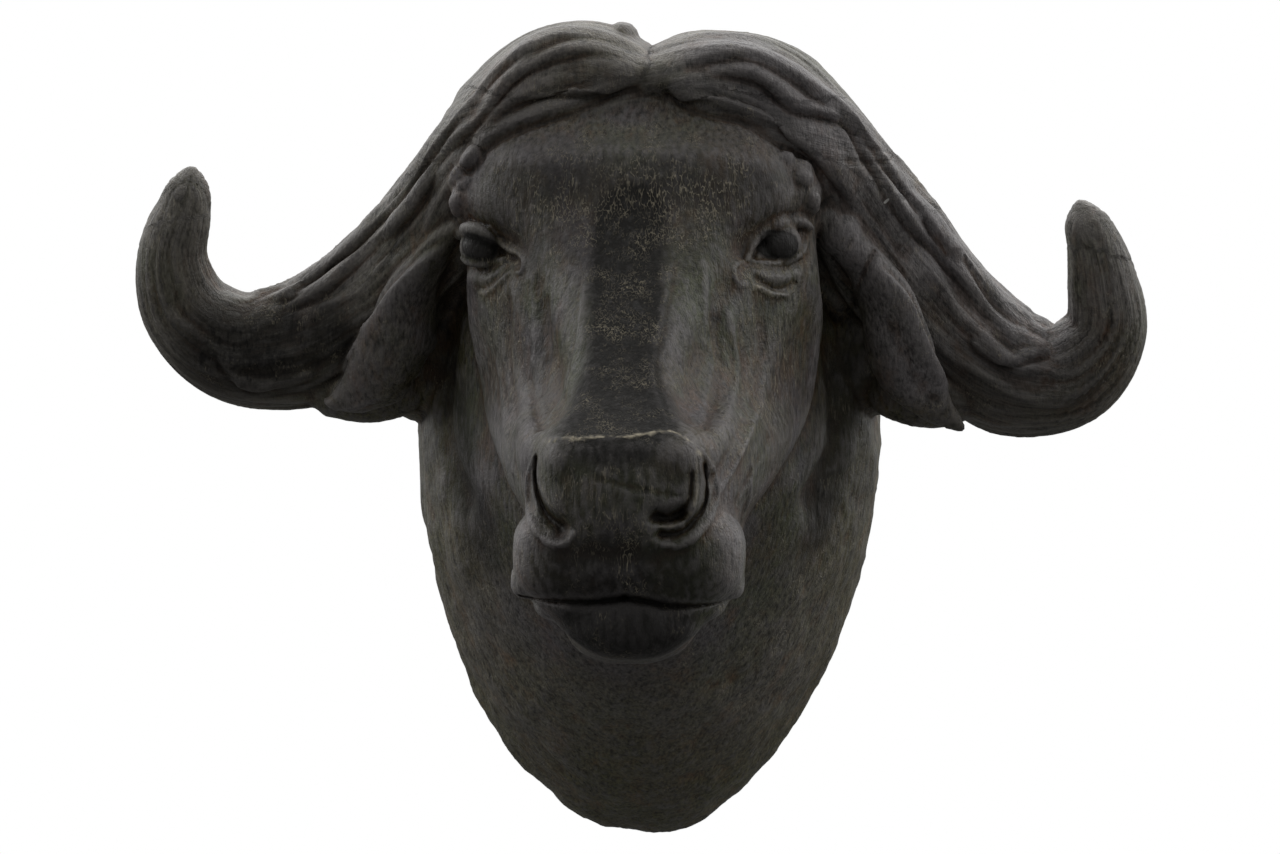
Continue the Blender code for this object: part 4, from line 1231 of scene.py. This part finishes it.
    # nostrils, mouth, pad crease, cheek creases, the right ear's root and the crown's notch
    cuts: tuple[Cut, ...] = (
        Cut((0.009, 0.024), (0.0032, 0.0095), mm(
            (-74, -28), (-75, -46), (-71, -63), (-63, -77), (-51, -87))),
        Cut((0.009, 0.012), (0.003, 0.005), mm(
            (75, -34), (76.5, -52), (73.5, -70), (62, -86), (50, -93), (38, -93))),
        Cut((0.004, 0.006), (0.0025, 0.0025), mm((64, -40), (62, -62), (56, -72))),
        Cut((0.02, 0.02), (0.007, 0.006), mm((54, -76), (44, -79), (34, -78))),
        Cut((0.007, 0.012), (0.0028, 0.0032), mm(
            (-90, -150), (-65, -153), (-33, -154), (-14, -153), (4, -150))),
        Cut((0.012, 0.007), (0.0032, 0.0028), mm(
            (4, -150), (24, -153), (41, -157), (71, -157), (100, -153))),
        Cut((0.007, 0.002), (0.004, 0.003), mm((-530, -157), (-500, -152), (-470, -143)), Look.SIDES),
        Cut((0.001, 0.0015), (0.003, 0.003), mm((-18, -44), (10, -51), (58, -61))),
        Cut((0.005, 0.005), (0.005, 0.005), mm((114, 4), (100, -30), (84, -60))),
        Cut((0.005, 0.005), (0.006, 0.005), mm((129, -10), (117, -35), (100, -66))),
        Cut((0.004, 0.004), (0.005, 0.005), mm((-102, -2), (-98, -35), (-88, -70))),
        Cut((0.006, 0.004), (0.004, 0.004), mm((232, 172), (220, 146), (210, 118))),
        Cut((0.006, 0.006), (0.006, 0.006), mm((5, 400), (13, 360))))
    # bridge, forehead, lip, chin, pad, horns and eyeballs, then painted shadow on the neck beside the cheeks
    # and painted shade under the boss
    washes_and_shade: tuple[Wash, ...] = (
        Wash(1.1, (0.04, 0.038), mm((0, 200), (0, 120), (-3, 55)), 5.0),
        Wash(1.1, (0.037, 0.062), mm((-4, 58), (-4, 30), (-2, 4)), 6.0),
        Wash(0.62, 0.036, mm((-120, 222), (-40, 230), (40, 230), (125, 222)), 2.4),
        Wash(0.3, 0.024, mm((-100, 258), (100, 258))),
        Wash(0.4, 0.055, mm((-70, 190), (70, 190))),
        Wash(0.72, 0.042, mm((-40, -132), (0, -130), (50, -132))),
        Wash(1.2, 0.038, mm((-26, -180), (36, -180))),
        Wash(0.5, 0.05, mm((-30, -52), (36, -52))),
        Wash(0.8, 0.055, mm((-420, 75), (-330, 85))),
        Wash(0.35, 0.04, mm((330, 50), (400, 30), (430, 50))),
        Wash(1.4, 0.0135, mm((-156, 174), (-141, 170)), 8.0),
        Wash(1.4, 0.0145, mm((131, 174), (147, 173)), 8.0),
        # painted shadow on the neck beside the cheeks, where the ears and horns shade it
        Wash(0.7, 0.036, mm((-192, 50), (-178, -30), (-156, -110))),
        Wash(0.7, 0.036, mm((206, 50), (196, -30), (178, -100))),
        # painted shade along the rims under the boss
        Wash(0.4, 0.014, mm((-137, 283), (-96, 303), (-53, 318), (-10, 332))),
        Wash(0.4, 0.014, mm((20, 334), (64, 316), (107, 304), (150, 280))))
    # painted sheen and light, partly rubbed patina: ears, horns, cheeks, face edges, lobes, crown, throat,
    # horn tips, lower lip and brows
    rubs_and_sheens: tuple[Wash, ...] = (
        # painted light on both ears, lifting them out of their shade
        Wash(0.5, 0.04, mm((-225, 130), (-250, 80), (-290, 40))),
        Wash(1.0, 0.052, mm((215, 180), (255, 115), (285, 60))),
        Wash(0.9, 0.06, mm((100, 350), (180, 290), (250, 220), (330, 150), (390, 90))),
        Wash(0.35, 0.05, mm((-100, 350), (-160, 300), (-250, 220), (-330, 150))),
        Wash(0.6, 0.045, mm((-150, 80), (-130, 40), (-115, 0))),
        Wash(0.15, 0.04, mm((140, 80), (125, 30), (105, -20))),
        Wash(0.3, 0.009, mm((-166, 114), (-157, 80), (-148, 37), (-138, -20), (-104, -67))),
        Wash(0.3, 0.009, mm((178, 121), (173, 52), (158, -6), (124, -56), (97, -83))),
        Wash(0.65, 0.02, mm((-88, -96), (-94, -120), (-92, -145))),
        Wash(0.65, 0.022, mm((90, -70), (102, -110), (102, -145))),
        Wash(0.25, 0.045, mm((0, 290), (80, 280), (-80, 280))),
        Wash(0.3, 0.12, mm((-120, -250), (120, -250))),
        Wash(0.12, 0.04, mm((-445, 100), (-455, 180), (-450, 240))),
        Wash(0.35, 0.03, mm((470, 120), (455, 190), (440, 215))),
        Wash(0.35, 0.014, mm((-70, -163), (-64, -172))),
        Wash(0.4, 0.02, mm((-160, 250), (-172, 222), (-168, 204))),
        Wash(0.35, 0.022, mm((146, 240), (164, 228), (170, 208))))
    # tan lines, partly rubbed wear and partly painted highlight: edge of the pad, rims of the nostrils, bags
    # and the left tear duct
    scuffs_and_highlights: tuple[Wash, ...] = (
        Wash(0.9, 0.0012, mm((-66, -12), (-30, -9), (10, -8), (40, -3), (58, -9), (71, -22))),
        Wash(0.3, 0.0018, mm((-68, -30), (-67, -50), (-61, -66), (-46, -80))),
        Wash(0.34, 0.0018, mm((69, -30), (67, -66), (58, -80), (46, -86), (34, -85))),
        Wash(0.3, 0.002, mm((-150, 130), (-140, 129), (-127, 138))),
        Wash(0.3, 0.002, mm((117, 133), (132, 126), (148, 125))),
        Wash(0.3, 0.0026, mm((-128, 178), (-115, 168), (-107, 162))))
    # forehead, bridge, cheeks, lip and the right of the neck
    flecks: tuple[Wash, ...] = (
        Wash(1.0, 0.06, mm((-60, 215), (60, 215))),
        Wash(1.0, 0.036, mm((0, 180), (0, 90))),
        Wash(0.6, 0.036, mm((0, 90), (0, 10))),
        Wash(0.7, 0.04, mm((120, 120), (130, 40), (100, -30))),
        Wash(0.45, 0.04, mm((-130, 100), (-110, 20))),
        Wash(0.45, 0.04, mm((0, -70), (0, -90))),
        Wash(0.5, 0.06, mm((170, -150), (100, -260))))
    form_voxel: float = 0.005
    detail_voxel: float = 0.0023
    quick_coarseness: float = 1.5
    form_smoothing: int = 4
    detail_smoothing: int = 2
    roll_smoothing: int = 1
    relief_rounds: int = 10
    edge_rounds: int = 2
    most_triangles: int = 198000

    def build(self, patina: Patina, grain: Grain) -> bpy.types.Object:
        """Model the casting.

        Args:
            patina: Its finish.
            grain: The relief over its skin.

        Returns:
            The finished piece, linked to the scene.
        """
        voxel = self.detail_voxel * 1.0
        clay = Clay("buffalo_head_casting")
        clay.add([self.skull.build(), self.neck.build()] + [lump.build() for lump in self.muzzle],
                 self.form_voxel, self.form_smoothing)
        clay.work(self.side_forms)
        clay.work(self.forms + tuple(stroke for eye in self.eyes for stroke in eye.strokes))
        LOG.info("skull, muzzle and neck laid up")
        added = [part.build() for part in (*self.horns.values(), *self.ears, *self.beds, *self.knobs)]
        clay.add(added, voxel, self.detail_smoothing)
        clay.soften(self.blends)
        clay.work(self.skin_strokes)
        clay.work(tuple(cut for eye in self.eyes for cut in eye.cuts))
        clay.join([eye.build() for eye in self.eyes])
        LOG.info("horns, ears, knobs and eyes joined")
        tree = clay.tree()
        rolls = self.rolls + tuple(roll for eye in self.eyes for roll in eye.rolls)
        clay.add([roll.build(tree) for roll in rolls], voxel, self.roll_smoothing)
        clay.work(self.folds)
        clay.work(self.cuts)
        LOG.info("rolls laid on, folds raised and creases cut")
        self.mark_regions(clay)
        grain.apply(clay, patina.material(SLOT))
        self.trim_back(clay)
        self.thin_out(clay)
        self.mark_regions(clay)
        self.mark_relief(clay)
        self.mark_skin(clay)
        clay.piece.data.shade_smooth()
        bpy.context.scene.collection.objects.link(clay.piece)
        return clay.piece

    def mark_regions(self, clay: Clay) -> None:
        """Keep where each vertex lies: on a horn, on the neck, and along and around the horns."""
        points = clay.read("co")
        along = np.zeros(len(points))
        around = np.zeros(len(points))
        nearest = np.full(len(points), np.inf)
        for shape in self.horns.values():
            length, angle, share = shape.coordinates(points)
            better = share < nearest
            nearest[better] = share[better]
            along[better] = length[better] + shape.phase
            around[better] = angle[better]
        horn = 1.0 - smooth_step(1.10, 1.25, nearest)
        neck = smooth_step(-0.26, -0.20, points[:, 1]) * (1.0 - horn)
        clay.store("horn", horn)
        clay.store("along", along)
        clay.store("around", around)
        clay.store("turn_x", np.cos(around))
        clay.store("turn_y", np.sin(around))
        clay.store("neck", neck)

    def mark_relief(self, clay: Clay) -> None:
        """Keep how far each vertex stands above or lies below its surroundings, in millimetres."""
        points = clay.read("co")
        normals = clay.read("normal")
        smoothed = clay.relaxed(points, 0.5, self.relief_rounds)
        below = 1000.0 * np.sum((smoothed - points) * normals, axis=1)
        clay.store("hollow", np.maximum(below, 0.0))
        clay.store("ridge", np.maximum(-below, 0.0))
        barely = clay.relaxed(points, 0.5, self.edge_rounds)
        clay.store("edge", 1000.0 * np.maximum(np.sum((points - barely) * normals, axis=1), 0.0))

    def mark_skin(self, clay: Clay) -> None:
        """Keep how dark, rubbed, scuffed and flecked the patina is on each vertex, and where shade, sheen and
        highlights are painted on.
        """
        tree = clay.tree()
        points = clay.read("co")
        kinds = {"wash_and_shade": self.washes_and_shade, "rub_and_sheen": self.rubs_and_sheens, "scuff_and_highlight": self.scuffs_and_highlights, "flecked": self.flecks}
        for name, lines in kinds.items():
            most = np.zeros(len(points))
            for one in lines:
                widths = one.width if isinstance(one.width, tuple) else (one.width, one.width)
                near = nearness(points, laid(tree, one.line)[0], widths)[0]
                most = np.maximum(most, one.strength * np.exp(-near ** one.crispness))
            clay.store(name, most)

    def trim_back(self, clay: Clay) -> None:
        """Cut the back flat along the wall plane and close it."""
        model = bmesh.new()
        model.from_mesh(clay.piece.data)
        everything = model.verts[:] + model.edges[:] + model.faces[:]
        bmesh.ops.bisect_plane(model, geom=everything, dist=0.00001, plane_co=(0, 0, 0),
                               plane_no=(0, 1, 0), clear_outer=True)
        rim = [edge for edge in model.edges if edge.is_boundary]
        bmesh.ops.contextual_create(model, geom=rim)
        bmesh.ops.triangulate(model, faces=[face for face in model.faces if len(face.verts) > 4])
        model.to_mesh(clay.piece.data)
        model.free()

    def thin_out(self, clay: Clay) -> None:
        """Keep the number of triangles within the piece's limit."""
        decimate = clay.piece.modifiers.new("thin_out", "DECIMATE")
        decimate.ratio = min(1.0, self.most_triangles / clay.triangles())
        clay.bake()


@dataclass
class Studio:
    """A pale floor, soft light all round and the camera."""

    target: Row = (0.0, -0.22, 0.0)
    distance: float = 2.8
    azimuth: float = math.radians(3.0)
    lens: float = 78.75
    floor_height: float = -1.6
    floor_size: float = 8.0
    side_light: float = 1.85
    top_light: float = 2.9
    back_light: float = 0.6
    fill_light: float = 0.13

    def floor(self) -> None:
        """The floor, far below the hanging head."""
        bpy.ops.mesh.primitive_plane_add(size=self.floor_size, location=(0.0, -1.0, self.floor_height))
        floor = bpy.context.object
        floor.name = "studio_floor"
        pale = bpy.data.materials.new("pale_floor")
        pale.use_nodes = True
        skin = pale.node_tree.nodes["Principled BSDF"]
        skin.inputs["Base Color"].default_value = (0.75, 0.75, 0.74, 1.0)
        skin.inputs["Roughness"].default_value = 0.8
        floor.data.materials.append(pale)
        floor.visible_diffuse = False
        floor.visible_glossy = False

    def light(self) -> None:
        """A light tent that is bright at both sides and above, and dim on the viewer's side."""
        world = bpy.data.worlds.new("light_tent")
        bpy.context.scene.world = world
        world.use_nodes = True
        world.node_tree.nodes.clear()
        graph = Graph(world.node_tree)
        direction = graph.node("ShaderNodeTexCoord").outputs["Generated"]
        parts = graph.node("ShaderNodeSeparateXYZ", {}, {0: direction})
        aside = Value(graph, parts.outputs["X"]).absolute()
        ahead = Value(graph, parts.outputs["Y"])
        upward = Value(graph, parts.outputs["Z"])
        level = upward.ramp(-0.20, 0.40)
        sides = aside.ramp(0.40, 0.95) * ahead.ramp(-0.70, 0.10) * level * self.side_light
        above = upward.ramp(0.20, 0.90) * (ahead.ramp(0.0, 0.60) * 0.65 + 0.22) * self.top_light
        behind = ahead.ramp(0.10, 0.80) * level * self.back_light
        glow = sides + above + behind + self.fill_light
        seen = graph.node("ShaderNodeLightPath").outputs["Is Camera Ray"]
        strength = graph.node("ShaderNodeMix", {"data_type": "FLOAT"}, {0: seen, 2: glow, 3: 1.0})
        shine = graph.node("ShaderNodeBackground", {}, {"Color": (1.0, 1.0, 1.0, 1.0),
                                                        "Strength": strength.outputs[0]})
        graph.node("ShaderNodeOutputWorld", {}, {"Surface": shine.outputs["Background"]})
        bpy.context.scene.view_settings.view_transform = "Standard"

    def camera(self) -> None:
        """The camera, level with the middle of the head and a little to its right."""
        lens = bpy.data.cameras.new("camera")
        lens.lens = self.lens
        lens.sensor_width = 36.0
        eye = bpy.data.objects.new("camera", lens)
        bpy.context.scene.collection.objects.link(eye)
        away = Vector((math.sin(self.azimuth), -math.cos(self.azimuth), 0.0))
        eye.location = Vector(self.target) + away * self.distance
        eye.rotation_euler = (-away).to_track_quat("-Z", "Y").to_euler()
        bpy.context.scene.camera = eye


def main() -> None:
    """Build the studio and the sculpture, and report each piece."""
    logging.basicConfig(level=logging.INFO, format="%(name)s: %(message)s")
    studio = Studio()
    studio.camera()
    studio.floor()
    studio.light()
    piece = Sculpture().build(Patina(), Grain())
    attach(piece, "root")
    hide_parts(NODE)
    LOG.info("%s: %d vertices", piece.name, len(piece.data.vertices))


if __name__ == "__main__":
    main()
